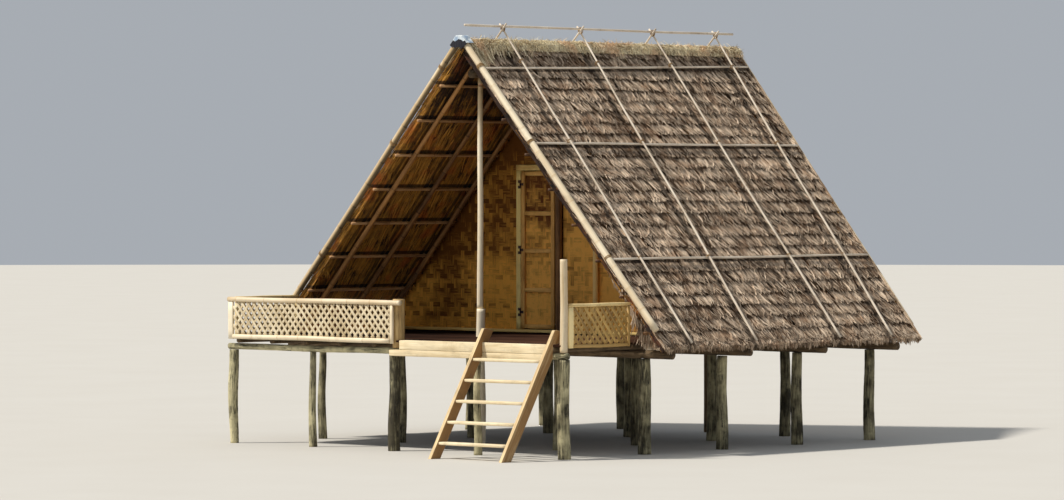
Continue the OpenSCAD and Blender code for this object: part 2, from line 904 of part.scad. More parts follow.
// A scrap of sheet folded over the heads of the barge poles and the front end of the cap
module ridge_sheet() {
    n0 = -(cap_t + seat);
    n1 = n0 - sheet_t;
    top_in = ridge_z + cap_flat + seat;
    top_out = top_in + sheet_t;
    function right(s, n) = [roof_x(s, n), roof_z(s, n)];
    function left(s, n) = [-roof_x(s, n), roof_z(s, n)];
    color("#9fb3c8")
        translate([0, barge_y - barge_d / 2 + sheet_w, 0])
            rotate([90, 0, 0])
                linear_extrude(sheet_w)
                    polygon([
                        [x_under(top_in, n0), top_in], right(sheet_right, n0), right(sheet_right, n1),
                        [x_under(top_out, n1), top_out], [-x_under(top_out, n1), top_out],
                        left(sheet_left, n1), left(sheet_left, n0), [-x_under(top_in, n0), top_in]
                    ]);
}

posts_row_1();
posts_row_2();
rear_posts();
veranda_king_post();
wall_king_posts();
cross_beams();
floor_joists();
veranda_floor();
room_floor();
fascia_boards();
stair_stringers();
stair_treads();
front_railing_frame();
front_railing_lattice();
right_railing_frame();
right_railing_lattice();
left_railing_frame();
left_railing_lattice();
middle_rail_post();
corner_newel();
wall_sills();
front_wall_left();
front_wall_right();
front_wall_over_door();
rear_wall();
wall_studs();
door_frame();
jamb_hinges();
ridge_pole();
eave_poles();
rafters_left();
rafters_right();
purlins_left();
purlins_right();
thatch_left();
thatch_right();
ridge_cap();
barge_poles();
slanting_poles();
level_poles();
ridge_tip_poles();
ridge_sheet();
door_leaf_frame();
door_leaf_panel();
leaf_hinges();
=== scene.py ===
import math
import bmesh
import bpy
import numpy as np
from numpy import arange, array, clip, concatenate, cos, interp, linspace, maximum, minimum, pi, sign, sin
from numpy import stack, where
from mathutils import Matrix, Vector


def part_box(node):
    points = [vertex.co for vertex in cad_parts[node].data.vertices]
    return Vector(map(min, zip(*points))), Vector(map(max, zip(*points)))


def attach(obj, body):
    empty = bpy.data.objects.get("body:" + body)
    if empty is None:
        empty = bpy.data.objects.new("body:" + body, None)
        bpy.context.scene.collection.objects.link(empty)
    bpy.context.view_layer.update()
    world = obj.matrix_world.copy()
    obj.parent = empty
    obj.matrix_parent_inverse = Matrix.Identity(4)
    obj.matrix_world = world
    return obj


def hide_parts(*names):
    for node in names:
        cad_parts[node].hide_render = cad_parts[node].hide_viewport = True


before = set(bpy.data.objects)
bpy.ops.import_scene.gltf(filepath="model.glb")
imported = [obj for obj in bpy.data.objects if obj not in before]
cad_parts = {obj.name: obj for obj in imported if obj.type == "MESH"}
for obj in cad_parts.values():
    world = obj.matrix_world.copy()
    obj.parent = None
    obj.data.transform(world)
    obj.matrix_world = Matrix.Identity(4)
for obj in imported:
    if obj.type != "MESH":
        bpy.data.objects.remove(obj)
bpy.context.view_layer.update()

# Sizes of the house, in metres; SEAT is the gap at which one piece seats on another
SEAT = 0.0003
BAY_X, BAY_Y = 1.25, 1.33
HALF_W = 2.5
POST, POST_TAPER, POST_TOP = 0.145, 0.025, 1.04
BEAM, FRONT_BEAM, JOIST = 0.10, 0.076, 0.06
BEAM_TOP, BEAM_REACH, JOIST_FRONT = 1.1403, 2.9035, -0.045
DECK, DECK_FRONT, DECK_REAR, FLOOR_T = 1.2309, -0.05, 5.4946, 0.03
RIDGE, EAVE = 4.53, 1.16
ANGLE = math.radians(48.4)
COS, SIN = math.cos(ANGLE), math.sin(ANGLE)
SLOPE = (RIDGE - EAVE) / SIN
VERGE_FRONT, VERGE_REAR, VERGE_LEAN = 1.12, 5.98, 0.30
THATCH, COURSE = 0.082, 0.17
EAVE_X = 2.978
PURLIN, RAFTER, RAFTER_FOOT = 0.036, 0.064, 4.31
PURLIN_S = [0.56 + 0.519 * i for i in range(8)]
CAP_T, CAP_W = 0.08, 0.12
BARGE, BARGE_Y, BARGE_N = 0.078, 1.105, -0.0363
CAP_Y0, CAP_Y1 = BARGE_Y + BARGE / 2 + SEAT, VERGE_REAR - 0.02
WALL_Y, REAR_KING_Y = 2.7523, 5.4123
WALL_KING, STUD, STUD_TOP = 0.084, 0.066, 0.062
FRONT_WALL_Y, REAR_WALL_Y = 2.7956, 5.4646
KING_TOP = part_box("veranda_king_post")[1][2]
WALL_N = THATCH + PURLIN + 0.001

# Poles over the thatch. A level pole: its distance down the slope and its lean. A slanting pole:
# its place along the house at the upper end, and how far it leans forward on its way down.
SLANT = 0.029
SLANT_LOW, SLANT_HIGH = SLOPE - 0.06, -0.21
LEVELS = [(2 * COURSE, 0.13), (9 * COURSE, 0.0), (19 * COURSE, 0.0)]
SLANTS = [(VERGE_FRONT + 0.68 + i * (VERGE_REAR - VERGE_FRONT - 1.10) / 3 + d, lean)
          for i, (d, lean) in enumerate(((0, 0.24), (0.075, 0.45), (0.10, 0.24), (0, 0.45)))]


def paint(red, green, blue):
    """A colour as seen on a screen, from 0 to 255, for a shader."""
    return tuple(((c / 255 + 0.055) / 1.055) ** 2.4 for c in (red, green, blue)) + (1.0,)


def darker(colour, share):
    return tuple(c * share for c in colour[:3]) + (1.0,)


class Term:
    """A shader value that takes part in Python sums."""

    def __init__(self, finish, socket):
        self.finish, self.socket = finish, socket

    def maths(self, kind, *terms, clamp=False):
        settings = {"operation": kind, "use_clamp": clamp}
        return self.finish.node("ShaderNodeMath", settings, dict(enumerate(terms)))

    def __abs__(self):
        return self.maths("ABSOLUTE", self)

    def held(self):
        """Held between 0 and 1."""
        return self.maths("ADD", self, 0.0, clamp=True)

    def rise(self, low, high):
        """A soft step from 0 at low to 1 at high."""
        return self.finish.node("ShaderNodeMapRange", {"interpolation_type": "SMOOTHSTEP"},
                                {"Value": self, "From Min": low, "From Max": high})

    def scaled(self, x, y, z):
        """A vector with its parts multiplied."""
        return self.finish.node("ShaderNodeVectorMath", {"operation": "MULTIPLY"}, {0: self, 1: (x, y, z)})


for word, kind in (("add", "ADD"), ("sub", "SUBTRACT"), ("mul", "MULTIPLY"), ("truediv", "DIVIDE")):
    setattr(Term, "__" + word + "__", lambda self, other, kind=kind: self.maths(kind, self, other))
    setattr(Term, "__r" + word + "__", lambda self, other, kind=kind: self.maths(kind, other, self))


class Finish:
    """A material whose nodes are made by Python sums."""

    def __init__(self, name):
        self.material = bpy.data.materials.new(name)
        self.material.use_nodes = True
        self.tree = self.material.node_tree
        self.shader = self.tree.nodes["Principled BSDF"]

    def feed(self, node, inputs):
        for name, value in inputs.items():
            if isinstance(value, Term):
                self.tree.links.new(value.socket, node.inputs[name])
            else:
                node.inputs[name].default_value = value

    def node(self, kind, settings={}, inputs={}, out=0):
        made = self.tree.nodes.new(kind)
        for name, value in settings.items():
            setattr(made, name, value)
        self.feed(made, inputs)
        return Term(self, made.outputs[out])

    def noise(self, scale, detail=3.0, rough=0.55, place=None):
        return self.node("ShaderNodeTexNoise", inputs={"Vector": place or self.place(), "Scale": scale,
                                                       "Detail": detail, "Roughness": rough})

    def place(self):
        return self.node("ShaderNodeTexCoord", out="Object")

    def along_and_up(self):
        """Place along the house and height."""
        return (self.node("ShaderNodeSeparateXYZ", {}, {0: self.place()}, out=part) for part in "YZ")

    def lay(self):
        """Place along and across the grain, in metres."""
        return self.node("ShaderNodeAttribute", {"attribute_name": "lay"}, out="Vector")

    def tone(self):
        """How much lighter or darker a strand or a board is than its neighbours."""
        return self.node("ShaderNodeAttribute", {"attribute_name": "tone"}, out="Fac")

    def blend(self, share, first, second):
        return self.node("ShaderNodeMix", {"data_type": "RGBA"}, {0: share, 6: first, 7: second}, out=2)

    def close(self, colour, rough, height=None, relief=0.001):
        """Joins colour, roughness and relief to the shader and gives the material."""
        self.feed(self.shader, {"Base Color": colour, "Roughness": rough})
        if height:
            relief = {"Height": height, "Distance": relief, "Strength": 1.0}
            self.feed(self.shader, {"Normal": self.node("ShaderNodeBump", inputs=relief)})
        return self.material


def wood(name, dark, light, fine, stretch, blotch, rough, relief, grime, crack=0.0, grain=1.3,
         patchy=0.8, shine=0.5):
    """Grain that runs along each piece, with blotches, dirt and drying cracks."""
    m = Finish(name)
    dark, light = paint(*dark), paint(*light)
    m.shader.inputs["Specular IOR Level"].default_value = shine
    lay, tone = m.lay(), m.tone()
    streak = m.noise(1.0, 4, place=lay.scaled(fine, fine / stretch, fine))
    hair = m.noise(1.0, 2, place=lay.scaled(fine * 5, fine / stretch * 2, fine * 5))
    patch = m.noise(blotch, 3)
    share = 0.5 + (streak - 0.5) * grain + (hair - 0.5) * 0.5 + (patch - 0.5) * patchy + tone
    colour = m.blend(share.held(), dark, light)
    colour = m.blend((-1.0 - tone).held(), colour, darker(dark, 0.16))
    dirt_and_shadow = m.noise(blotch * 4.3, 5, 0.7).rise(0.5, 0.78) * grime
    colour = m.blend(dirt_and_shadow, colour, darker(dark, 0.35))
    height = streak * 0.6 + hair * 0.4
    if crack:
        long = lay.scaled(fine * 1.1, fine / stretch / 2.5, fine * 1.1)
        line = abs(m.noise(1.0, 6, 0.62, long) - 0.5)
        split = 1.0 - line.rise(0.0, 0.035)
        split = split * m.noise(6.0).rise(0.45, 0.6) * crack
        colour = m.blend(split, colour, darker(dark, 0.18))
        height = height - split * 2.0
    return m.close(colour, (0.9 - streak * 0.25) * (rough / 0.75), height, relief)


class Pile:
    """Points, faces and layout values of one joined mesh."""

    def __init__(self):
        self.points, self.lays, self.tones, self.quads, self.tris = [], [], [], [], []
        self.count = 0

    def add(self, points, quads, lay, tone=0.0, tris=()):
        """Adds faces; tone is one value, or one for each point or each run of points."""
        points = np.reshape(points, (-1, 3)) * 1.0
        points[:, 2] = maximum(points[:, 2], 0)
        self.points.append(points)
        self.lays.append(np.reshape(lay, (-1, 3)))
        self.tones.append(np.repeat(np.ravel(tone), len(points) // np.size(tone)))
        self.quads.append(np.reshape(quads, (-1, 4)).astype(int) + self.count)
        self.tris.append(np.reshape(tris, (-1, 3)).astype(int) + self.count)
        self.count += len(points)

    def piece(self, name, finish, replaced, slot, body="house", smooth=True):
        """Makes the piece and leaves the pile empty for the next one."""
        mesh = bpy.data.meshes.new(name)
        points, quads, tris = (concatenate(a) for a in (self.points, self.quads, self.tris))
        corners = concatenate([quads.ravel(), tris.ravel()])
        starts = concatenate([arange(len(quads)) * 4, len(quads) * 4 + arange(len(tris)) * 3])
        for part, key, values in ((mesh.vertices, "co", points), (mesh.loops, "vertex_index", corners),
                                  (mesh.polygons, "loop_start", starts)):
            part.add(len(values))
            part.foreach_set(key, values.ravel())
        mesh.polygons.foreach_set("use_smooth", np.full(len(starts), smooth))
        mesh.update(calc_edges=True)
        mesh.attributes.new("lay", "FLOAT_VECTOR", "POINT").data.foreach_set(
            "vector", concatenate(self.lays).ravel())
        mesh.attributes.new("tone", "FLOAT", "POINT").data.foreach_set("value", concatenate(self.tones))
        mesh.materials.append(finish)
        obj = bpy.data.objects.new(name, mesh)
        bpy.context.scene.collection.objects.link(obj)
        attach(obj, body)
        if replaced:
            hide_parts(*replaced)
        self.__init__()
        return obj


pile, ties = Pile(), Pile()    # the piece that is being made, and the lashings


def grid_quads(count, rows, cols):
    """Faces of several equal grids of points, one after the other."""
    r, c = np.meshgrid(arange(rows - 1), arange(cols - 1), indexing="ij")
    first = (r * cols + c).reshape(-1, 1)
    one = first + array([0, 1, cols + 1, cols])
    return (arange(count)[:, None, None] * rows * cols + one).reshape(-1, 4)


def unit(vectors):
    """Vectors of length 1 in the same directions."""
    return vectors / np.linalg.norm(vectors, axis=-1, keepdims=True)


def waves(along, turn, seed):
    """Smooth unevenness from -1 to 1 along a pole and round it."""
    rng = np.random.default_rng(seed)
    total = 0.0
    for pace, strength in ((2.5, 0.34), (7.0, 0.28), (17.0, 0.22), (40.0, 0.16)):
        for _ in range(2):
            total = total + strength / 2 * sin(
                along * pace * rng.uniform(0.7, 1.4) + rng.integers(1, 6) * turn + rng.uniform(0, 6.3))
    return total


def sweep(pile, path, section, seed=0.0, tone=0.0, up=(0, 0, 1), closed=True):
    """Carries a section, given for one ring or for each ring, along a path and closes the ends."""
    path = np.asarray(path, float)
    way = unit(np.gradient(path, axis=0))
    up = np.asarray(up, float)
    if abs(way[0] @ up) > 0.95:
        up = array([0.0, 1.0, 0.0])
    side = unit(np.cross(way, up))
    top = np.cross(side, way)
    section = np.broadcast_to(section, (len(path),) + np.shape(section)[-2:])
    width, depth = section[..., 0], section[..., 1]
    points = path[:, None] + width[..., None] * side[:, None] + depth[..., None] * top[:, None]
    run = concatenate([[0], np.cumsum(np.linalg.norm(np.diff(path, axis=0), axis=1))])
    run = np.broadcast_to(run[:, None], width.shape)
    lay = stack([width + seed * 3.7, run + seed * 1.3, depth + seed * 2.1], -1)
    rings, count = width.shape
    spot = arange(count)
    after = (spot + 1) % count
    ring = arange(rings - 1)[:, None] * count
    quads = stack([ring + spot, ring + count + spot, ring + count + after, ring + after], -1)
    points, lay = points.reshape(-1, 3), lay.reshape(-1, 3)
    tone = np.broadcast_to(tone if np.ndim(tone) == 2 else np.reshape(tone, (-1, 1)), width.shape).ravel()
    tris = ()
    if closed:
        first, last = len(points), (rings - 1) * count
        tris = concatenate([stack([np.full(count, first), spot, after], -1),
                            stack([np.full(count, first + 1), last + after, last + spot], -1)])
        points = concatenate([points, path[[0, -1]]])
        lay = concatenate([lay, lay[[0, -1]]])
        tone = concatenate([tone, tone[[0, -1]] - 0.25])
    pile.add(points, quads, lay, tone, tris)


def circle(around):
    turn = linspace(0, 2 * pi, around, endpoint=False)
    return turn, stack([cos(turn), sin(turn)], -1)


def bent_line(start, end, share, sway):
    """Points at shares of the line from start to end, pushed sideways by sway's two columns."""
    way = unit(end - start)
    across = unit(np.cross(way, [0.3, 0.2, 0.9]))
    return start + (end - start) * share[:, None] + across * sway[:, :1] + np.cross(way, across) * sway[:, 1:]


def log(start, end, thick, thin, seed, around=18, gap=0.03, lump=0.12, bend=0.012, foot=1.0, tone=0.0,
        stain=None):
    """A natural pole with bark, lumps and a slight bend, inside its round size; it can be darkened by a function of
    height.
    """
    start, end = array(start, float), array(end, float)
    length = np.linalg.norm(end - start)
    share = linspace(0, 1, max(4, int(length / gap)))
    rng = np.random.default_rng(seed)
    sway = [bend * sin(pi * share) * sin(share * length * rng.uniform(1.5, 3.5) + rng.uniform(0, 6.3))
            for _ in range(2)]
    path = bent_line(start, end, share, stack(sway, -1))
    turn, ring = circle(around)
    radius = (thick + (thin - thick) * share) / 2
    radius = radius * (foot + (1 - foot) * clip(share * 1.6, 0, 1))
    uneven = waves(share[:, None] * length, turn[None, :], seed)
    section = ring[None] * (radius[:, None] * (1 - lump / 2 + lump / 2 * uneven))[..., None]
    tone = tone + rng.uniform(-0.08, 0.08)
    sweep(pile, path, section, seed % 97 * 0.37, tone - stain(path[:, 2]) if stain else tone)


def upright(x, y, low, high, thick, seed, thin=None, **looks):
    log((x, y, low), (x, y, high), thick, thin or thick, seed, **looks)


def culm(start, end, thick, thin, seed, around=12, joint=0.36, bend=0.006, tone=0.0, body=0.93, under=0.0):
    """A bamboo pole; its joints reach the round size, and under paints shade on the side that looks down."""
    start, end = array(start, float), array(end, float)
    length = np.linalg.norm(end - start)
    rng = np.random.default_rng(seed)
    joints = [rng.uniform(0.06, joint)]
    while joints[-1] < length:
        joints.append(joints[-1] + joint * rng.uniform(0.75, 1.25))
    joints = array(joints[:-1]) if len(joints) > 1 else array([length / 2])
    size = max(thick, 0.03)
    near = (joints[:, None] + size * array([-0.35, -0.16, -0.08, 0, 0.08, 0.16, 0.35])).ravel()
    run = np.unique(np.round(concatenate([linspace(0, length, max(3, int(length / 0.12))), near]), 4))
    run = np.append(run[(run >= 0) & (run < length - 0.0005)], length)
    share = run / length
    off = (run[:, None] - joints[None]) / (size * 0.10)
    bulge = np.exp(-off ** 2).max(axis=1)
    scar = np.exp(-((off - 0.9) * 1.4) ** 2).max(axis=1)
    pace = rng.uniform(1.2, 2.6, 2) * 2 / max(length, 1.0) * 1.6
    sway = bend * sin(pi * share)[:, None] * sin(run[:, None] * pace + rng.uniform(0, 6.3, 2))
    path = bent_line(start, end, share, sway)
    turn, ring = circle(around)
    radius = (thick + (thin - thick) * share) / 2 * (body + (1 - body) * bulge)
    uneven = 1 + 0.012 * waves(run[:, None], turn[None, :], seed + 5)
    section = ring[None] * (radius[:, None] * uneven)[..., None]
    shade = tone + rng.uniform(-0.06, 0.06) - 0.42 * scar + 0.08 * sin(np.cumsum(bulge) + seed)
    # Painted shade on the side that looks down, by under
    down = clip((-0.15 - ring[:, 1]) / 0.35, 0, 1)
    sweep(pile, path, section, seed % 97 * 0.41, shade[:, None] - under * down)


def board_section(width, depth, round_off):
    """A board's section with eased edges and a point in the middle of each face."""
    w, d, b = width / 2, depth / 2, min(round_off, depth / 3)
    c = b * 0.3
    return array([(-w + b, -d), (0, -d), (w - b, -d), (w - c, -d + c), (w, -d + b), (w, 0), (w, d - b),
                  (w - c, d - c), (w - b, d), (0, d), (-w + b, d), (-w + c, d - c), (-w, d - b), (-w, 0),
                  (-w, -d + b), (-w + c, -d + c)])


def board(start, end, width, depth, seed, up=(0, 0, 1), wear=0.0015, tone=0.0, round_off=0.005, gap=0.08):
    """A sawn board from one end's middle to the other's, depth measured along up; tone may follow its length."""
    start, end = array(start, float), array(end, float)
    length = np.linalg.norm(end - start)
    share = linspace(0, 1, max(4, int(length / gap)))
    tone = tone(share) if callable(tone) else tone
    section = board_section(width, depth, round_off)
    half = section.max(axis=0)
    uneven = waves(share[:, None] * length * 2, arange(len(section))[None] * 0.4, seed)
    shrink = 1 - wear * (1 + uneven[..., None]) / maximum(half, 0.004)
    ends = np.ones(len(share))
    ends[[0, -1]] = 1 - min(0.1, 0.002 / min(half))
    tone = tone + np.random.default_rng(seed).uniform(-0.07, 0.07)
    sweep(pile, start + (end - start) * share[:, None], section[None] * shrink * ends[:, None, None],
          seed % 89 * 0.29, tone, up)


def ring_tie(centre, way, wide, deep, deep_way, turns=3, cord=0.0028, seed=0, sides=5, steps=16):
    """A lashing of some turns round two poles, in the plane across way."""
    way = unit(array(way, float))
    deep_way = array(deep_way, float)
    deep_way = unit(deep_way - way * (deep_way @ way))
    wide_way = np.cross(way, deep_way)
    ring = circle(sides)[1]
    rng = np.random.default_rng(seed)
    for k in range(turns):
        angle = linspace(0, 2 * pi, steps) + rng.uniform(0, 6)
        lift = (k - (turns - 1) / 2) * cord * 2.1 + rng.uniform(-0.3, 0.3) * cord
        slip = cord * 0.9 * sin(angle + rng.uniform(0, 6))
        path = (array(centre) + wide_way * (cos(angle) * wide)[:, None]
                + deep_way * (sin(angle) * deep)[:, None] + way * (lift + slip)[:, None])
        sweep(ties, path, ring * cord, seed + k, rng.uniform(-0.2, 0.2), up=way, closed=False)


def on_roof(side, s, y, n):
    """A point s down a slope from the ridge, n into the roof."""
    s, y, n = np.broadcast_arrays(s, y, n)
    return stack([side * minimum(s * COS - n * SIN, EAVE_X), y, RIDGE - s * SIN - n * COS], -1)


def into_roof(side, n=1):
    """The way into the roof, n long."""
    return on_roof(side, 0, 0, n) - on_roof(side, 0, 0, 0)


def rear_edge(s):
    """Where the rear verge lies at a place down the slope."""
    return VERGE_REAR - VERGE_LEAN * clip(s, 0, SLOPE) / SLOPE


def under_roof(x):
    """Height of the roof's inside, at the walls, over a place across the house."""
    return RIDGE - WALL_N / COS - np.abs(x) * SIN / COS


# Poles, boards and mats: dark and light colour, fineness of the grain, its stretch, size of the
# blotches, roughness, relief, dirt and, where there are any, cracks
bark = wood("weathered_bark", (66, 60, 42), (210, 200, 158), 38, 9, 4.6, 0.85, 0.006, 0.5, 0.95, patchy=1.7)
beam_wood = wood("shaded_log", (50, 38, 26), (136, 112, 80), 40, 12, 3, 0.85, 0.004, 0.5, 0.8)
pale_culm = wood("pale_bamboo", (192, 164, 120), (253, 240, 212), 45, 30, 1.7, 0.5, 0.0008, 0.3, grain=0.9)
roof_culm = wood("grey_bamboo", (174, 154, 128), (252, 240, 222), 50, 24, 2.4, 0.6, 0.0008, 0.45, grain=0.9)
gold_log = wood("peeled_log", (128, 88, 36), (232, 200, 138), 38, 14, 2.5, 0.7, 0.002, 0.4, 0.4)
gold_plank = wood("gold_plank", (216, 158, 74), (255, 228, 146), 42, 16, 1.6, 0.66, 0.0015, 0.3, 0.3)
stair_plank = wood("stair_plank", (150, 112, 66), (240, 214, 164), 42, 16, 1.6, 0.68, 0.0015, 0.35, 0.35)
shaded_culm = wood("shaded_bamboo", (186, 150, 88), (255, 230, 168), 45, 24, 2.5, 0.6, 0.0008, 0.4)
shaded_strip = wood("shaded_strip", (116, 82, 34), (222, 182, 106), 70, 20, 4.0, 0.6, 0.0006, 0.4)
pale_plank = wood("pale_plank", (200, 172, 122), (248, 234, 200), 42, 16, 1.6, 0.68, 0.0015, 0.3, 0.2, grain=1.0)
lattice_strip = wood("lattice_strip", (176, 152, 110), (244, 230, 198), 70, 20, 4.0, 0.58, 0.0006, 0.4)
# Dark floor strips: partly their own dark brown and partly painted shade
floor_strip = wood("floor_strip", (20, 11, 8), (76, 52, 40), 48, 26, 2.0, 0.95, 0.0014, 0.5, shine=0.04)
mat_strip = wood("woven_strip", (110, 64, 14), (250, 180, 74), 60, 16, 2.4, 0.7, 0.0008, 0.3,
                 patchy=1.5, shine=0.25)
# A lighter copy of the woven strip, as painted light, for the right wall and the door leaf
lit_mat = wood("lit_woven_strip", (108, 60, 18), (255, 190, 90), 60, 16, 2.6, 0.7, 0.0008, 0.3,
                patchy=2.2, shine=0.25)
outer_mat = wood("weathered_mat", (120, 92, 48), (222, 186, 122), 60, 16, 1.8, 0.75, 0.0008, 0.4,
                 patchy=1.1, shine=0.25)
door_plank = wood("door_wood", (166, 106, 36), (255, 200, 112), 46, 18, 2.0, 0.6, 0.001, 0.3)
rafter_wood = wood("rafter_pole", (72, 44, 20), (190, 136, 76), 44, 22, 2.2, 0.65, 0.001, 0.4)
purlin_wood = wood("purlin_pole", (140, 96, 58), (240, 192, 136), 50, 22, 2.6, 0.65, 0.001, 0.35)
stud_pole = wood("stud_pole", (226, 150, 76), (255, 216, 140), 42, 16, 1.8, 0.7, 0.0012, 0.25)
tie_cord = wood("bast_tie", (88, 64, 38), (190, 154, 104), 160, 3, 2.2, 0.85, 0.0006, 0.2)


def band(across, near, far):
    """A soft line of the surface between two distances from a pole."""
    edge = 0.012
    return across.rise(near - edge, near) * (1.0 - across.rise(far, far + edge))


def shadow_by_poles(m):
    """Painted shadow below the level poles and under the slanting ones, on the thatch's outside."""
    y, z = m.along_and_up()
    s = (RIDGE - z) / SIN
    dirt_and_shadow = 0.0
    for pole_s, lean in LEVELS:
        down = s - pole_s + (y - (VERGE_FRONT + VERGE_REAR) / 2) * (lean / (VERGE_REAR - VERGE_FRONT))
        dirt_and_shadow = dirt_and_shadow + band(down, 0.004, 0.045)
    for top_y, lean in SLANTS:
        beside = y - top_y + (s - SLANT_HIGH) * (lean / (SLANT_LOW - SLANT_HIGH))
        dirt_and_shadow = dirt_and_shadow + (1.0 - abs(beside).rise(0.018, 0.055))
    return dirt_and_shadow * m.noise(7.0).rise(0.25, 0.5) * 0.75


def shadow_by_timbers(m):
    """Painted shadow above the purlins and beside the rafters near the front."""
    y, z = m.along_and_up()
    s = (RIDGE - z - (THATCH - 0.008) * COS) / SIN
    painted_shade = 0.0
    for purlin_s in PURLIN_S:
        painted_shade = painted_shade + band(purlin_s - s, 0.012, 0.050)
    for i in range(2, 5):
        painted_shade = painted_shade + band(abs(y - i * BAY_Y / 2), 0.020, 0.060) * 0.8
    return painted_shade * 0.8


def thatch_finish(name, dark, light, warm, streaky=0.8, spotty=0.7, base=0.48, marks=None):
    """Dry leaf strips: long streaks, a warm share, weathered patches and, from marks, painted shadows along poles and
    timbers.
    """
    m = Finish(name)
    dark, light, warm = paint(*dark), paint(*light), paint(*warm)
    lay, tone = m.lay(), m.tone()
    streak = m.noise(1.0, 2, place=lay.scaled(190, 14, 40))
    patch = m.noise(1.5, 4, 0.6, m.place().scaled(1.0, 1.0, 1.6))
    spot = m.noise(9.0, 3)
    fleck = m.noise(55.0, 2)
    share = (base + (streak - 0.5) * streaky + (patch - 0.5) * 1.1 + (spot - 0.5) * spotty
             + (fleck - 0.5) * streaky + tone)
    colour = m.blend(share.held(), dark, light)
    lit = (tone + 1.0).held()
    colour = m.blend(m.noise(4.0, 4).rise(0.48, 0.7) * 0.6 * lit, colour, warm)
    # Painted shadow where marks says, beside the poles and timbers
    if marks:
        colour = m.blend(marks(m).held(), colour, darker(dark, 0.3))
    return m.close(colour, 0.85, streak, 0.0012)


thatch_out = thatch_finish("thatch_outside", (84, 60, 36), (230, 206, 178), (158, 122, 90), 0.62, 0.8, 0.44,
                           shadow_by_poles)
thatch_in = thatch_finish("thatch_inside", (46, 24, 8), (200, 142, 54), (190, 92, 34), 0.45, 1.3, 0.56,
                          shadow_by_timbers)
straw = thatch_finish("ridge_straw", (132, 104, 66), (255, 242, 204), (240, 196, 156), base=0.52)


def middle(node, axis):
    """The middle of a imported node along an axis."""
    low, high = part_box(node)
    return (low[axis] + high[axis]) / 2


# Stilts, beams and joists
def stilt(x, y, top, share, seed, **looks):
    """A tapered post on the ground; share is its thickness against the usual one."""
    upright(x, y, 0, top, POST * share, seed, POST * share - POST_TAPER, **looks)


front_y, front_top = middle("posts_row_1", 1), BEAM_TOP - FRONT_BEAM - SEAT
# The middle front stilt is darker: partly its own dark, wet wood and partly painted shade
for k, (share, tone) in enumerate(((0.95, 0.4), (0.68, 0.12), (1, -0.45), (0.68, 0.0), (1.05, -0.05))):
    stilt((k - 2) * BAY_X, front_y, front_top, share, 11 + k, foot=0.72 if k == 0 else 1.0, bend=0.014,
          gap=0.022, around=24, tone=tone)
pile.piece("front_stilts", bark, ["posts_row_1"], "weathered_log")
for k, share in ((0, 0.75), (1, 0.75), (3, 0.95), (4, 1.1)):
    x = (k - 2) * BAY_X + (0.12 if k < 2 else 0)
    stilt(x, BAY_Y, POST_TOP, share, 21 + k, bend=0.014, around=22, tone=-0.12)
pile.piece("second_stilts", bark, ["posts_row_2"], "weathered_log")
for row in (2, 3, 4):
    for k in range(5):
        if k != 2 or row == 3:
            stilt((k - 2) * BAY_X, BAY_Y * row, POST_TOP, 1, 31 + row * 5 + k, tone=-0.18)
pile.piece("rear_stilts", bark, ["rear_posts"], "weathered_log")

king, king_joint = 0.104, 1.54
king_y = BAY_Y + BEAM / 2 + king / 2 + SEAT
upright(0, king_y, 0, king_joint, king, 61, lump=0.08, gap=0.035, tone=0.3)
# The post's top is darker as a painted shadow of the roof
log((-0.014, king_y, king_joint), (-0.010, king_y, KING_TOP), 0.074, 0.059, 62, lump=0.05, gap=0.05,
    bend=0.003, tone=0.3, stain=lambda z: 1.75 * clip(z - 3.45, 0, 1))
pile.piece("veranda_king", pale_culm, ["veranda_king_post"], "pale_pole")
for y, name, finish, nodes, foot_stain in ((WALL_Y, "door_king", rafter_wood, ["wall_king_posts"], 0.5),
                                           (REAR_KING_Y, "rear_king", beam_wood, [], -0.45)):
    upright(0, y, 0, KING_TOP, WALL_KING, 63 + int(y), lump=0.06, gap=0.05, bend=0.003, tone=-0.3,
            stain=lambda z: foot_stain * (z < BEAM_TOP))
    pile.piece(name, finish, nodes, "weathered_log")


def cross_log(reach, y, thick, seed, **looks):
    """A round beam across the house, its top at the height of the beams."""
    z = BEAM_TOP - thick / 2
    log((-reach, y, z), (reach, y, z), thick, thick, seed, bend=0.004, **looks)


cross_log(HALF_W + 0.06, 0, FRONT_BEAM, 71, gap=0.04, around=22, tone=0.22)
pile.piece("front_beam", bark, (), "weathered_log")
for row in (1, 2, 3, 4):
    cross_log(BEAM_REACH, BAY_Y * row, BEAM, 71 + row, gap=0.06)
pile.piece("beams", beam_wood, ["cross_beams"], "weathered_log")
joist_z = BEAM_TOP + SEAT + JOIST / 2
for k in range(10):
    x = (k - 4.5) * (HALF_W - 0.12) / 4.5
    log((x, JOIST_FRONT, joist_z), (x, DECK_REAR, joist_z), JOIST, JOIST, 81 + k, around=12, gap=0.09, bend=0.003)
pile.piece("joists", beam_wood, ["floor_joists"], "weathered_log")


# Floors of split bamboo, laid across the joists
def floor_strips(y0, y1, seed):
    """Strips with slits between them, darker at the left, worn paler where people come up the stair."""
    rng = np.random.default_rng(seed)
    edges = [y0]
    while edges[-1] < y1 - 0.05:
        edges.append(min(y1, edges[-1] + rng.uniform(0.055, 0.08)))
    edges[-1] = y1
    for k, (a, b) in enumerate(zip(edges[:-1], edges[1:])):
        thick = FLOOR_T - rng.uniform(0.001, 0.005)
        out = rng.uniform(0.0, 0.012, 2)
        shade = rng.uniform(-0.15, 0.15)
        y, z = (a + b) / 2, DECK - FLOOR_T + thick / 2
        board((-HALF_W + out[0], y, z), (HALF_W - out[1], y, z), b - a - 0.005, thick, seed + k,
              wear=0.0012, round_off=0.009, gap=0.5,
              tone=lambda share: shade + interp(share, (0.3, 0.8), (-0.45, 0.35)))


floor_strips(DECK_FRONT, WALL_Y, 100)
pile.piece("veranda_deck", floor_strip, ["veranda_floor"], "split_bamboo_floor")
floor_strips(WALL_Y + 0.001, DECK_REAR, 200)
pile.piece("room_deck", floor_strip, ["room_floor"], "split_bamboo_floor")

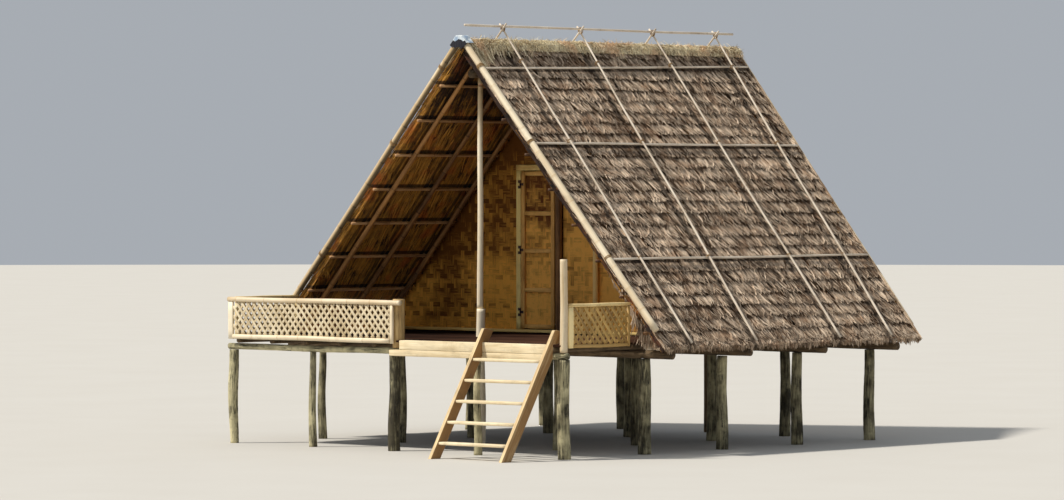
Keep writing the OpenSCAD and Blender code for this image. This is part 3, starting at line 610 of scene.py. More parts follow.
# Fascia boards and stair
ALONG = (0, 1, 0)
lo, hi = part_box("fascia_boards")
y, thick = middle("fascia_boards", 1), hi[1] - lo[1]
for left, drop, width, seed, tone in ((0.154, 0.054, 0.108, 301, 0.12), (0, 0.144, 0.0717, 302, -0.02)):
    board((lo[0] + left, y, DECK - drop), (hi[0], y, DECK - drop), width, thick, seed, ALONG, tone=tone)
pile.piece("fascia", pale_plank, ["fascia_boards"], "pale_board")

STAIR = math.radians(58.4)
STRINGER, STRINGER_TOP = 0.042, DECK + 0.15
DEEP = 0.13 / math.sin(STAIR)
FASCIA_FACE = -0.0756
FRONT_TOP_Y = DECK_FRONT - SEAT - 0.025 - 0.064
HOOK_Z = DECK + SEAT
TREAD_W, TREAD_T = 0.09, 0.038


def stringer_front(z):
    """Where a stringer's front edge lies at a height."""
    return FRONT_TOP_Y + (z - DECK) / math.tan(STAIR)


outline = [(stringer_front(0), 0), (stringer_front(0) + DEEP, 0),
           (FASCIA_FACE, (FASCIA_FACE - DEEP - FRONT_TOP_Y) * math.tan(STAIR) + DECK),
           (FASCIA_FACE, HOOK_Z), (stringer_front(HOOK_Z) + DEEP, HOOK_Z),
           (stringer_front(STRINGER_TOP) + DEEP, STRINGER_TOP - 0.025),
           (stringer_front(STRINGER_TOP) + 0.045, STRINGER_TOP), (stringer_front(STRINGER_TOP), STRINGER_TOP)]


def stringer(x, seed, shade):
    """A board cut to the outline in Y and Z, with eased edges; its faces are darker than its edges as painted shade.
    """
    work = bmesh.new()
    face = work.faces.new([work.verts.new((x, y, z)) for y, z in outline])
    moved = bmesh.ops.extrude_face_region(work, geom=[face])["geom"]
    bmesh.ops.translate(work, vec=(STRINGER, 0, 0), verts=[g for g in moved if isinstance(g, bmesh.types.BMVert)])
    bmesh.ops.bevel(work, geom=work.edges[:], offset=0.004, segments=2, affect="EDGES", profile=0.6)
    bmesh.ops.recalc_face_normals(work, faces=work.faces)
    bmesh.ops.triangulate(work, faces=work.faces[:])
    points = array([v.co[:] for v in work.verts])
    tris = array([[v.index for v in f.verts] for f in work.faces])
    work.free()
    cos, sin = math.cos(STAIR), math.sin(STAIR)
    lay = stack([points @ array([0, -sin, cos]) + seed, points @ array([0, cos, sin]), points[:, 0]], -1)
    on_face = np.abs(np.abs(points[:, 0] - x - STRINGER / 2) - STRINGER / 2) < 0.0002
    pile.add(points, (), lay, where(on_face, shade, 0.15), tris)


lo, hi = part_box("stair_stringers")
# Both stringers' faces are darker than their edges as painted shade
stringer(lo[0], 0.0, -0.72)
stringer(hi[0] - STRINGER, 3.1, -0.42)
pile.piece("stringers", stair_plank, ["stair_stringers"], "pale_board", smooth=False)
lo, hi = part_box("stair_treads")
for k in range(5):
    z = 0.165 + 0.221 * k
    y = stringer_front(z) + 0.012 + TREAD_W / 2
    board((lo[0], y, z), (hi[0], y, z), TREAD_W, TREAD_T, 320 + k, wear=0.002, tone=0.14, round_off=0.009)
pile.piece("treads", pale_plank, ["stair_treads"], "pale_board")

# Railings: round rails, flat stiles and a lattice of crossed strips
RAIL_LOW, RAIL_TOP = 1.1869, 1.6659
DIAMOND_W, DIAMOND_H = 0.088, 0.102


def railing(at, name, length, last, rail, past, strip_w, seed, finish, strips, tones=(0.3, 0.1, 0.0)):
    """A panel along its own first axis; at gives the house's place, tones are two stiles' and the lower rail's."""
    y, first = -rail / 2, 0.08
    high = RAIL_TOP - rail / 2
    for k, (x0, x1, z, tone) in enumerate(((0, length + past, high, 0.0),
                                           (first, length - last, RAIL_LOW + rail / 2, tones[2]))):
        culm(at(x0, y, z), at(x1, y, z), rail, rail, seed + k, 16, joint=0.42, bend=0.003, tone=tone, body=0.96)
    up = at(0, 1, 0) - at(0, 0, 0)
    for k, (x, w) in enumerate(((first / 2, first), (length - last / 2, last))):
        board(at(x, y, RAIL_LOW), at(x, y, high - rail / 2), w, 0.034, seed + 3 + k, up, tone=tones[k],
              round_off=0.009)
    pile.piece(name + "_rails", finish, [name + "_frame"], "pale_railing")
    x0, x1 = first, length - last
    z0, z1 = RAIL_LOW + rail, RAIL_TOP - rail
    run = (z1 - z0) * (DIAMOND_W / DIAMOND_H)
    strip = board_section(strip_w, 0.0045, 0.0015)[[0, 1, 2, 5, 8, 9, 10, 13]]
    rng = np.random.default_rng(seed)
    share = linspace(0, 1, 15)
    for side in (1, -1):
        for k in range(1, int((x1 - x0 + run) / DIAMOND_W) + 2):
            xs = x0 - run + k * DIAMOND_W + rng.uniform(-0.003, 0.003) + run * share
            zs = z0 + (z1 - z0) * share if side > 0 else z1 - (z1 - z0) * share
            keep = (xs > x0 - 0.01) & (xs < x1 + 0.01)
            if keep.sum() < 2:
                continue
            cross = cos((zs - z0) / DIAMOND_H * 2 * pi + k * pi) * 0.0012
            path = array([at(a, y + side * 0.003 + c, b) for a, b, c in zip(xs[keep], zs[keep], cross[keep])])
            sweep(pile, path, strip, rng.uniform(0, 30), rng.uniform(-0.24, 0.24), up)
    pile.piece(name + "_strips", strips, [name + "_lattice"], "pale_railing")


railing(lambda x, y, z: array([-HALF_W + x, DECK_FRONT - SEAT + y, z]), "front_railing", 2.57, 0.048, 0.058,
        0.11, 0.031, 400, pale_culm, lattice_strip)
side_y = 0.049
side_sizes = (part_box("right_railing_frame")[1][1] - side_y, 0.032, 0.04, 0, 0.038)
# The near stile is lighter as painted light; the far stile and the lower rail are darker as painted shade
railing(lambda x, y, z: array([HALF_W + SEAT - y, side_y + x, z]), "right_railing", *side_sizes, 420,
        shaded_culm, shaded_strip, (0.6, -0.9, -0.7))
railing(lambda x, y, z: array([-HALF_W - SEAT + y, side_y + x, z]), "left_railing", *side_sizes, 440,
        shaded_culm, shaded_strip)

lo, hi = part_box("middle_rail_post")
upright(middle("middle_rail_post", 0), middle("middle_rail_post", 1), lo[2], hi[2], 0.14, 451, around=24,
        gap=0.02, lump=0.07, bend=0.0)
pile.piece("rail_post", gold_log, ["middle_rail_post"], "weathered_log")
lo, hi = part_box("corner_newel")
upright(HALF_W, 0, lo[2], hi[2], 0.088, 452, 0.082, around=20, lump=0.08, bend=0.004, tone=-0.25)
pile.piece("newel", pale_culm, ["corner_newel"], "pale_pole")

# Walls of woven strips, with sills, studs and the door frame
# Painted light and shade on a mat by height: heights in metres, then how much darker the strips are there; below zero
# they are lighter
ROOF_SHADE = ((2.5, 3.5), (0.0, 0.55))
WALL_SHADE = ((1.8, 2.1, 2.9, 3.5), (-0.4, 0.05, 0.42, 0.65))
LEAF_SHADE = ((1.8, 2.4, 2.9), (-0.28, 0.3, 1.0))


def weave(x0, x1, z0, top, y, pitch, seed, out=-1.0, shade=0.0, painted_shade=ROOF_SHADE, spread=0.22, low_right_shade=0.0, corner=0.0):
    """A twill of flat strips from x0 to x1 and from z0 up to top(x), with painted light and shade by height, at its
    left end and in its lower right corner.
    """
    rng = np.random.default_rng(seed)
    xs = arange(x0 + pitch / 2, x1, pitch)
    zs = arange(z0 + pitch / 2, top(clip(0.0, x0 + 0.001, x1 - 0.001)), pitch)
    across = array([-0.5, 0.0, 0.5]) * pitch * 0.97
    crown = array([0.0, 0.0012, 0.0])
    for upright_strip in (True, False):
        rows, cells = (xs, zs) if upright_strip else (zs, xs)
        for i, line in enumerate(rows):
            over = ((i + arange(len(cells))) % 4 < 2) == upright_strip
            spots = concatenate([[cells[0] - pitch / 2], cells, [cells[-1] + pitch / 2]])
            bend = interp(spots, cells, where(over, 1.0, -1.0)) * 0.0022
            if upright_strip:
                limit = float(top(line))
                keep = spots < limit - 0.004
                if keep.sum() < 2:
                    continue
                spots, bend = np.append(spots[keep], limit), np.append(bend[keep], 0.0)
            else:
                fine = arange(x0, x1, 0.004)
                fine = fine[top(fine) > line]
                if len(fine) < 9:
                    continue
                inside = (spots > fine[0] + 0.003) & (spots < fine[-1] - 0.003)
                spots = concatenate([fine[:1], spots[inside], fine[-1:]])
                bend = concatenate([[0.0], bend[inside], [0.0]])
            shift = rng.uniform(0, 40)
            wide, long = np.broadcast_arrays(across, spots[:, None])
            lay = stack([wide + shift, long, np.full(wide.shape, shift)], -1)
            x, z = (line + wide, long) if upright_strip else (long, line + wide)
            points = stack([x, y + out * (bend[:, None] + crown), z], -1)
            # Painted light and shade: by height from the table, towards the left end by corner, and in the lower right
            # corner
            darkening = interp(z, *painted_shade) + corner * clip((-1.2 - x) / 0.3, 0, 1)
            darkening = darkening + low_right_shade * clip((x - 1.0) / 0.2, 0, 1) * clip((1.65 - z) / 0.15, 0, 1)
            tone = shade + rng.uniform(-spread, spread) + (0.08 if upright_strip else -0.08) - darkening
            pile.add(points, grid_quads(1, len(spots), 3), lay, tone)


def gable(x):
    return minimum(under_roof(x), KING_TOP)


(jx0, jy0, jz0), (jx1, jy1, jz1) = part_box("door_frame")
SIDE, MAT_PITCH = HALF_W - 0.005, 0.055
MAT_END = jx0 + 0.068    # under the door frame
for name, node, finish, seed, x0, x1, z0, y, looks in (
        # The left wall gets painted light and shade by height and painted shade towards its left end
        ("mat_left", "front_wall_left", mat_strip, 501, -SIDE, MAT_END, DECK, FRONT_WALL_Y,
         {"shade": -0.02, "painted_shade": WALL_SHADE, "spread": 0.24, "corner": 0.45}),
        # The right wall is lighter as painted light, with painted shade in its lower right corner
        ("mat_right", "front_wall_right", lit_mat, 502, 0.03, SIDE, DECK, FRONT_WALL_Y,
         {"shade": 0.5, "spread": 0.42, "low_right_shade": 0.7}),
        ("mat_over_door", "front_wall_over_door", mat_strip, 503, MAT_END, -0.03, jz1 - 0.068, FRONT_WALL_Y, {}),
        ("mat_rear", "rear_wall", outer_mat, 504, -SIDE, SIDE, DECK, REAR_WALL_Y, {"out": 1.0})):
    weave(x0, x1, z0, gable, y, MAT_PITCH, seed, **looks)
    pile.piece(name, finish, [node], "woven_mat")

SILL_W, SILL_T = 0.06, 0.0395
sill_z, sill_end = DECK + 0.0202, HALF_W - 0.01
for k, y in enumerate((WALL_Y, REAR_KING_Y)):
    board((-sill_end, y, sill_z), (-0.044, y, sill_z), SILL_W, SILL_T, 510 + k * 2, round_off=0.01,
          tone=lambda share: 0.6 * share - 0.25)
    board((0.044, y, sill_z), (sill_end, y, sill_z), SILL_W, SILL_T, 511 + k * 2, round_off=0.01, tone=0.2)
pile.piece("sills", gold_plank, ["wall_sills"], "pale_board")
for x, y, seed, bend, tone in ((0.56, WALL_Y, 521, 0.002, 0.5), (-BAY_X, REAR_WALL_Y - 0.0433, 522, 0.0, 0.0),
                               (BAY_X, REAR_WALL_Y - 0.0433, 524, 0.0, 0.0)):
    upright(x, y, DECK + 0.0403, under_roof(abs(x) + STUD / 2), STUD, seed, STUD_TOP, lump=0.05, bend=bend, tone=tone)
pile.piece("studs", stud_pole, ["wall_studs"], "weathered_log")
y, jamb_w, jamb_t = (jy0 + jy1) / 2, 0.07, 0.06
x, z = jx0 + jamb_w / 2, jz1 - jamb_w / 2
board((x, y, jz0), (x, y, jz1 - jamb_w), jamb_w, jamb_t, 531, ALONG, tone=0.35)
board((jx0, y, z), (jx1, y, z), jamb_w, jamb_t, 532, ALONG, tone=0.1)
pile.piece("door_surround", gold_plank, ["door_frame"], "pale_board")

# The door leaf
(dx0, dy0, dz0), (dx1, dy1, dz1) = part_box("door_leaf_frame")
y, rail = (dy0 + dy1) / 2, 0.052
for k, x in enumerate((dx0 + rail / 2, dx1 - rail / 2)):
    board((x, y, dz0), (x, y, dz1), rail, dy1 - dy0, 541 + k, ALONG, gap=0.06)
for k, low in enumerate((dz0, dz0 + 0.42, dz0 + 0.87, dz0 + 1.30, dz1 - rail)):
    z = low + rail / 2
    board((dx0 + rail, y, z), (dx1 - rail, y, z), rail, dy1 - dy0 - 0.003, 545 + k, ALONG, tone=0.25)
pile.piece("leaf_frame", door_plank, ["door_leaf_frame"], "door_wood", body="door")
(px0, _, pz0), (px1, _, pz1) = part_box("door_leaf_panel")
# Painted light low on the leaf and painted shade at its top
weave(px0, px1, pz0, lambda x: pz1 + 0 * np.asarray(x), middle("door_leaf_panel", 1), 0.042, 551, shade=0.38,
      painted_shade=LEAF_SHADE, spread=0.34)
pile.piece("leaf_mat", lit_mat, ["door_leaf_panel"], "woven_mat", body="door")

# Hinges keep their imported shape, with screws in their plates
m = Finish("dark_iron")
rust = m.noise(60.0, 5, 0.65)
fleck = m.noise(320.0, 3)
colour = m.blend(rust.rise(0.48, 0.66), paint(54, 38, 34), paint(112, 62, 44))
colour = m.blend(fleck.rise(0.55, 0.75) * 0.5, colour, paint(30, 26, 26))
iron = m.close(colour, 0.45 + rust * 0.4, fleck + rust, 0.0008)
HINGE_X, PLATE_Y = -0.559, 2.7180
screw = circle(10)[1] * array([0.0036, 0.0036, 0.0028, 0.0012])[:, None, None]
for body, node, inward, lift in (("house", "jamb_hinges", -1, 0.032), ("door", "leaf_hinges", 1, 0.008)):
    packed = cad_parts[node].data.materials
    packed.clear()
    packed.append(iron)
    for z in (dz0 + 0.19, (dz0 + dz1) / 2, dz1 - 0.15):
        for screw_z in (z - lift, z + lift):
            for reach in (0.014, 0.026):
                x = HINGE_X + inward * (0.008 + reach)
                sweep(pile, [(x, PLATE_Y - r, screw_z) for r in (0.0, 0.0006, 0.0012, 0.0015)], screw, z)
    pile.piece(node + "_screws", iron, (), "dark_hinge", body=body)

# Roof timbers
lo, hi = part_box("ridge_pole")
z = middle("ridge_pole", 2)
log((0, lo[1], z), (0, hi[1], z), 0.10, 0.10, 601, gap=0.06, bend=0.004)
pile.piece("ridge_log", beam_wood, ["ridge_pole"], "weathered_log")
for side in (-1, 1):
    for x, y0, y1, z, thick, seed, tone in ((2.6757, 1.16, 5.64, 1.1806, 0.08, 611, -0.25),
                                            (2.8437, 1.14, 5.66, 1.1656, 0.05, 615, -0.2)):
        culm((side * x, y0, z), (side * x, y1, z), thick, thick, seed + side, bend=0.002, tone=tone)
pile.piece("eave_culms", roof_culm, ["eave_poles"], "pale_pole")
rafter_n = THATCH + PURLIN + RAFTER / 2 + 2 * SEAT
purlin_n = THATCH + PURLIN / 2 + SEAT
# The right slope's purlins take the darker rafter wood and a lower tone as painted shade
for side, word, finish, shade in ((-1, "left", purlin_wood, -0.1), (1, "right", rafter_wood, -0.4)):
    for i in range(2, 9):
        y = i * BAY_Y / 2
        # The front rafter is lighter as painted light; the others are a little darker
        culm(on_roof(side, RAFTER_FOOT, y, rafter_n), on_roof(side, rafter_n * SIN / COS + 0.012, y, rafter_n),
             RAFTER, 0.05, 620 + i + 20 * side, joint=0.5, bend=0.004, body=0.95, tone=0.22 if i == 2 else -0.12)
    pile.piece("rafters_" + word + "_culms", rafter_wood, ["rafters_" + word], "roof_timber")
    for i, s in enumerate(PURLIN_S):
        culm(on_roof(side, s, VERGE_FRONT - 0.04, purlin_n), on_roof(side, s, rear_edge(s) - 0.06, purlin_n),
             PURLIN, PURLIN, 660 + i + 20 * side, joint=0.38, bend=0.002, around=10, tone=shade)
    pile.piece("purlins_" + word + "_culms", finish, ["purlins_" + word], "roof_timber")


# Thatch: leaf strips in courses over a thin core, with an inside layer and ragged edges
FLANK = array([-1.0, 1.0])


def draws(rng, count):
    """Even draws and bell-shaped draws of a fixed count."""
    return (lambda low, high: rng.uniform(low, high, count)), (lambda mean, spread: rng.normal(mean, spread, count))


def clumps(rng, count, low, high, size=0.07, loose=0.3):
    """Places gathered in handfuls, each one's place in its handful, and draws that a handful shares."""
    groups = int((high - low) / size)
    centre = (arange(groups) + rng.uniform(0.1, 0.9, groups)) / groups
    which = rng.integers(0, groups, count)
    off = rng.normal(0, 0.30, count)
    even = rng.uniform(0, 1, count)
    place = where(rng.uniform(0, 1, count) < loose, even, centre[which] + off / groups)
    return low + clip(place, 0, 1) * (high - low), off, lambda draw, a, b: draw(a, b, groups)[which]


def widen(line, reach):
    """Both edges of strips that reach to either side of their lines."""
    return line[..., None] + reach[..., None] * FLANK


def add_strips(points, half, run, shift, tone):
    """Flat strips from rows of two points, with their half widths and the way along them."""
    shift = shift[:, None, None]
    lay = stack(np.broadcast_arrays(half[..., None] * FLANK + shift, run[..., None], shift), -1)
    pile.add(points, grid_quads(*half.shape, 2), lay, tone)


def strands(side, s_root, s_tip, y, n_root, n_tip, width, yaw, roll, tone, seed, tip):
    """Flat strips that lie down a slope; tip is the width of their lower end."""
    share = array([0.0, 0.6, 1.0])
    length = (s_tip - s_root)[:, None] * share
    n = n_root[:, None] + (n_tip - n_root)[:, None] * share
    half = (width[:, None] / 2) * array([1.0, 0.9, tip])
    s = widen(s_root[:, None] + length * cos(yaw)[:, None], -half * sin(yaw)[:, None])
    y = widen(y[:, None] + length * sin(yaw)[:, None], half * (cos(yaw) * cos(roll))[:, None])
    y = clip(y, VERGE_FRONT - 0.006, rear_edge(s) + 0.012)
    shift = np.random.default_rng(seed).uniform(0, 50, len(s_root))
    add_strips(on_roof(side, s, y, widen(n, half * sin(roll)[:, None])), half, length, shift, tone)


def leaves(side, s_root, s_tip, y, n_root, n_tip, width, yaw, roll, tone, edge, seed):
    """Dry leaves that curl sideways, are pointed at the tip and, by edge, have painted shadow at the root under the
    course above.
    """
    rng = np.random.default_rng(seed)
    count = len(s_root)
    share = array([0.0, 0.32, 0.7, 1.0])
    length = (s_tip - s_root)[:, None] * share
    angle = yaw[:, None] + rng.normal(0, 0.24, count)[:, None] * share ** 2
    bow = rng.uniform(-0.002, 0.007, count)[:, None] * sin(share * pi)
    n = n_root[:, None] + (n_tip - n_root)[:, None] * share ** 0.8 + bow
    half = (width[:, None] / 2) * array([0.9, 1.0, 0.88, 0.3]) * rng.uniform(0.85, 1.15, (count, 4))
    turn = roll[:, None] * (0.6 + share)
    s = widen(s_root[:, None] + length * cos(yaw)[:, None], -half * sin(angle))
    y = widen(y[:, None] + length * sin(angle), half * cos(angle) * cos(turn))
    y = clip(y, VERGE_FRONT - 0.004, rear_edge(s) + 0.012)
    n = clip(widen(n, half * sin(turn)), -0.004, 0.05)
    # Painted shadow at the root end, under the tips of the course above
    shade = tone[:, None] - edge[:, None] * array([1.7, 0.12, 0, 0]) + array([0, 0.02, 0.06, 0.02])
    add_strips(on_roof(side, s, y, n), half, length, rng.uniform(0, 50, count), shade)


def straw_strips(lines, half, tilt_way, tone, rng):
    """Narrow strips along given lines, each with its half width turned along tilt_way."""
    points = lines[:, :, None] + (half[..., None] * FLANK)[..., None] * tilt_way[:, None, None]
    points[..., 0] = clip(points[..., 0], -EAVE_X, EAVE_X)
    points[..., 1] = clip(points[..., 1], VERGE_FRONT + 0.004, VERGE_REAR + 0.006)
    steps = np.linalg.norm(np.diff(lines, axis=1), axis=2)
    run = concatenate([np.zeros((len(lines), 1)), np.cumsum(steps, axis=1)], 1)
    add_strips(points, half, run, rng.uniform(0, 60, len(lines)), tone)


def verge_strands(side, rng, count, rear, n_low, n_high, seed, tone=(0.1, 0.1)):
    """Strands packed along a verge, turned on edge so that they close the roof's end."""
    even, bell = draws(rng, count)
    s0 = even(0.04, SLOPE - 0.10)
    s1 = minimum(s0 + even(0.12, 0.28), SLOPE - 0.01)
    inward = even(0.002, 0.022)
    n = even(n_low, n_high)
    strands(side, s0, s1, rear_edge(s0) - inward if rear else VERGE_FRONT + inward, n, n + even(-0.006, 0.006),
            even(0.008, 0.018), bell(0, 0.03), bell(0, 0.5) + 1.2,
            bell(0, 0.24) + interp(s0, (2.0, 3.5), tone), seed, tip=0.6)


def hanging_ends(foot, drop, tone, rng):
    """Loose leaf ends that hang straight down from given points."""
    even, bell = draws(rng, len(foot))
    lean = stack([bell(0, 0.2), bell(0, 0.12), -np.ones(len(foot))], -1)
    lines = foot[:, None] + lean[:, None] * (drop[:, None] * array([0.0, 0.5, 1.0]))[..., None]
    lines[..., 0] = clip(lines[..., 0], -EAVE_X, EAVE_X)
    turn = even(-0.9, 0.9)
    straw_strips(lines, even(0.003, 0.008)[:, None] * array([1, 0.9, 0.4]),
                 stack([cos(turn), sin(turn), 0 * turn], -1), tone, rng)


def verge_fringe(side, rng, count, longest):
    """Leaf ends under the lower part of the front verge, longest a little above the eave."""
    even, bell = draws(rng, count)
    up = 0.08 + 1.1 * even(0, 1) ** 1.3
    foot = on_roof(side, SLOPE - up, VERGE_FRONT + even(0.004, 0.18), even(0.03, 0.075))
    drop = even(0.03, 0.09) + longest * np.exp(-((up - 0.5) / 0.25) ** 2) * even(0.25, 1)
    hanging_ends(foot, minimum(drop, foot[:, 2] - 1.15), bell(0.0, 0.3), rng)


def eave_fringe(side, rng, count):
    """Leaf ends along the eave."""
    even, bell = draws(rng, count)
    y, _, shared = clumps(rng, count, VERGE_FRONT + 0.03, VERGE_REAR - VERGE_LEAN - 0.02, size=0.05)
    foot = on_roof(side, SLOPE - even(0.01, 0.05), y, even(0.0, 0.03))
    drop = 0.018 + (0.05 * shared(rng.uniform, 0.2, 1)) * even(0.3, 1)
    hanging_ends(foot, drop, bell(0.12, 0.2) + shared(rng.normal, 0, 0.2), rng)


def outer_courses(side, rng, seed):
    """Ragged courses of leaves with loose strands over them, closed along the verges."""
    for k in range(1, int(SLOPE / COURSE) + 2):
        line = min(k * COURSE, SLOPE - 0.02)
        even, bell = draws(rng, 740)
        y, off, shared = clumps(rng, 740, VERGE_FRONT + 0.006, rear_edge(line) - 0.006)
        ragged = rng.uniform(0.4, 1.5)
        pull = shared(rng.normal, 0, 0.011 * ragged) - 0.03 * off ** 2
        sag = 0.010 * sin(y * rng.uniform(1.2, 2.6) + k * 1.7) + 0.006 * sin(y * 6.3 + k * 2.9)
        tip = line + pull + sag + bell(0, 0.009 * ragged)
        tip = minimum(tip, SLOPE - even(0.002, 0.03))
        root = maximum(line - COURSE - even(0.02, 0.06), 0.03)
        yaw = bell(0, 0.09) + shared(rng.normal, 0, 0.15) + 0.12 * off
        n_tip, n_root = even(0.002, 0.014), even(0.030, 0.040)
        # Leaves at the sides of a handful are darker, as painted shade between handfuls
        tone = bell(0.06, 0.14) + shared(rng.normal, 0, 0.27) + 0.07 * sin(k * 2.3) - 0.5 * off ** 2
        # How much painted shadow each leaf's root gets under the course above
        edge = rng.uniform(0.1, 0.75) + 0.25 * sin(y * rng.uniform(0.8, 2.2) + k * 2.1) + 0.12 * sin(y * 7.1 + k)
        leaves(side, root, tip, y, n_root, n_tip, even(0.012, 0.032), yaw, bell(0, 0.30), tone,
               maximum(edge, 0), seed + k)
        even, bell = draws(rng, 200)
        y = clumps(rng, 200, VERGE_FRONT + 0.004, rear_edge(line) - 0.02, loose=0.6)[0]
        tip = minimum(line + bell(-0.03, 0.05), SLOPE - 0.002)
        strands(side, tip - even(0.05, 0.12), tip, y, even(0.004, 0.014), even(-0.004, 0.006), even(0.003, 0.008),
                bell(0, 0.35), bell(0, 0.4), bell(0.2, 0.28), seed + 30 + k, tip=0.3)
    if side > 0:
        verge_strands(side, rng, 700, False, 0.004, 0.03, seed + 60)
    verge_strands(side, rng, 700, True, 0.004, 0.03, seed + 61)


def thatch_core(side):
    """A closed wavy sheet inside the thatch, so that no light shines through."""
    rows, cols = 60, 64
    quads = grid_quads(1, rows, cols)
    for n0, s_top, flip in ((0.042, 0.07, 1), (0.066, 0.09, -1)):
        s = linspace(s_top, SLOPE - 0.09, rows)[:, None] * np.ones((1, cols))
        y = VERGE_FRONT + 0.010 + (rear_edge(s) - 0.010 - VERGE_FRONT - 0.010) * linspace(0, 1, cols)[None, :]
        n = n0 + flip * 0.002 * sin(s * 31 + y * 17) + 0.0015 * sin(y * 43)
        pile.add(on_roof(side, s, y, n), quads if flip * side > 0 else quads[:, ::-1], stack([y, s, n], -1), -0.4)
    size = rows * cols
    rim = concatenate([arange(cols), arange(1, rows) * cols + cols - 1,
                       (rows - 1) * cols + arange(cols - 2, -1, -1), arange(rows - 2, -1, -1) * cols])
    pile.quads.append(stack([rim[:-1], rim[1:], rim[1:] + size, rim[:-1] + size], -1))


def inner_layers(side, rng, seed):
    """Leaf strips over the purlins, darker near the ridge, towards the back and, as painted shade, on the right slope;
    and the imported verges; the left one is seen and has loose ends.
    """
    left = side < 0
    count = 740 if left else 520
    even, bell = draws(rng, count)
    for k in range(18):
        line = 0.06 + k * 0.25
        y, _, shared = clumps(rng, count, VERGE_FRONT + 0.006, rear_edge(line) - 0.006, size=0.12)
        root = maximum(line - even(0.02, 0.10), 0.11)
        tip = minimum(line + 0.26 + even(0.0, 0.10), SLOPE - 0.12 - even(0.0, 0.05))
        root = minimum(root, tip - 0.05)
        yaw = bell(0.14, 0.10) + shared(rng.normal, 0, 0.08)
        # Darker near the ridge and towards the back; the right slope is darker as painted shade
        darkening = 0.72 * clip((1.4 - line) / 0.9, 0, 1) + (0 if left else 0.3) + 0.18 * clip((y - 2.2) / 1.5, 0, 1)
        tone = bell(0.15, 0.12) + shared(rng.normal, 0, 0.16) - darkening
        strands(side, root, tip, y, even(0.068, 0.073), even(0.072, 0.080), even(0.010, 0.024), yaw, bell(0, 0.35),
                tone, seed + 70 + k, tip=0.7)
    if left:
        verge_strands(side, rng, 2200, False, 0.004, 0.079, seed + 98)
    else:
        # The right inside verge strands are darker as painted shade
        verge_strands(side, rng, 1300, False, 0.02, 0.079, seed + 98, (-1.1, -0.55))
    verge_strands(side, rng, 1300, True, 0.02, 0.079, seed + 99)
    if left:
        even, bell = draws(rng, 170)
        s0 = even(0.3, SLOPE - 0.5)
        y = VERGE_FRONT + even(-0.004, 0.05)
        strands(side, s0, s0 + even(0.05, 0.13), y, even(0.0, 0.02), even(-0.055, -0.02), even(0.004, 0.010),
                bell(-0.1, 0.25), bell(0, 0.7), bell(0.5, 0.2), seed + 97, tip=0.3)
        verge_fringe(side, rng, 350, 0.02)


for side, word, seed in ((-1, "left", 700), (1, "right", 800)):
    rng = np.random.default_rng(seed)
    outer_courses(side, rng, seed)
    pile.piece("thatch_" + word + "_outside", thatch_out, ["thatch_" + word], "thatch", smooth=False)
    thatch_core(side)
    inner_layers(side, rng, seed)
    pile.piece("thatch_" + word + "_inside", thatch_in, (), "thatch", smooth=False)
    eave_fringe(side, rng, 2200)
    if side > 0:
        verge_fringe(side, rng, 2400, 0.26)
    pile.piece("thatch_" + word + "_fringe", thatch_out, (), "thatch", smooth=False)


# The ridge cap: handfuls of loose straw bent over the ridge
def bent_straws(rng):
    """Straw laid over the ridge in swelling bundles."""
    count = 6800
    even, bell = draws(rng, count)
    y = even(CAP_Y0, CAP_Y1)
    reach = CAP_W * even(0.62, 0.98)
    depth = even(0, 1) ** 0.6
    arc = linspace(-1, 1, 6)[None, :] + even(-0.06, 0.06)[:, None]
    s = np.abs(arc) * reach[:, None]
    swell = 0.78 + 0.12 * sin(y * 3.1) + 0.10 * sin(y * 7.7 + 1) + 0.07 * sin(y * 19.0)
    top = (0.004 + CAP_T * 0.86 * (depth * swell)[:, None]) * (1 - np.abs(arc) ** 3 * 0.75)
    x = sign(arc) * (s * COS + top * SIN * minimum(np.abs(arc) * 1.3, 1.0))
    z = RIDGE - s * SIN + top * where(np.abs(arc) > 0.5, COS + 0.1, 0.95) - 0.010 * np.exp(-(arc * 3) ** 2)
    yaw = bell(0, 0.16)[:, None]
    y_bent = y[:, None] + arc * reach[:, None] * yaw * 2 + 0.004 * sin(arc * 5 + y[:, None] * 60)
    tilt = bell(0, 0.6)
    tilt_way = stack([0 * tilt, cos(tilt), sin(tilt)], -1)
    half = even(0.0018, 0.0046)[:, None] * np.ones((1, 6))
    bundle = 0.16 * sin(y * 23 + sin(y * 9) * 3) + 0.12 * sin(y * 71 + sin(y * 17) * 2)
    straw_strips(stack([x, y_bent, z], -1), half, tilt_way, bell(0.06, 0.26) + bundle, rng)


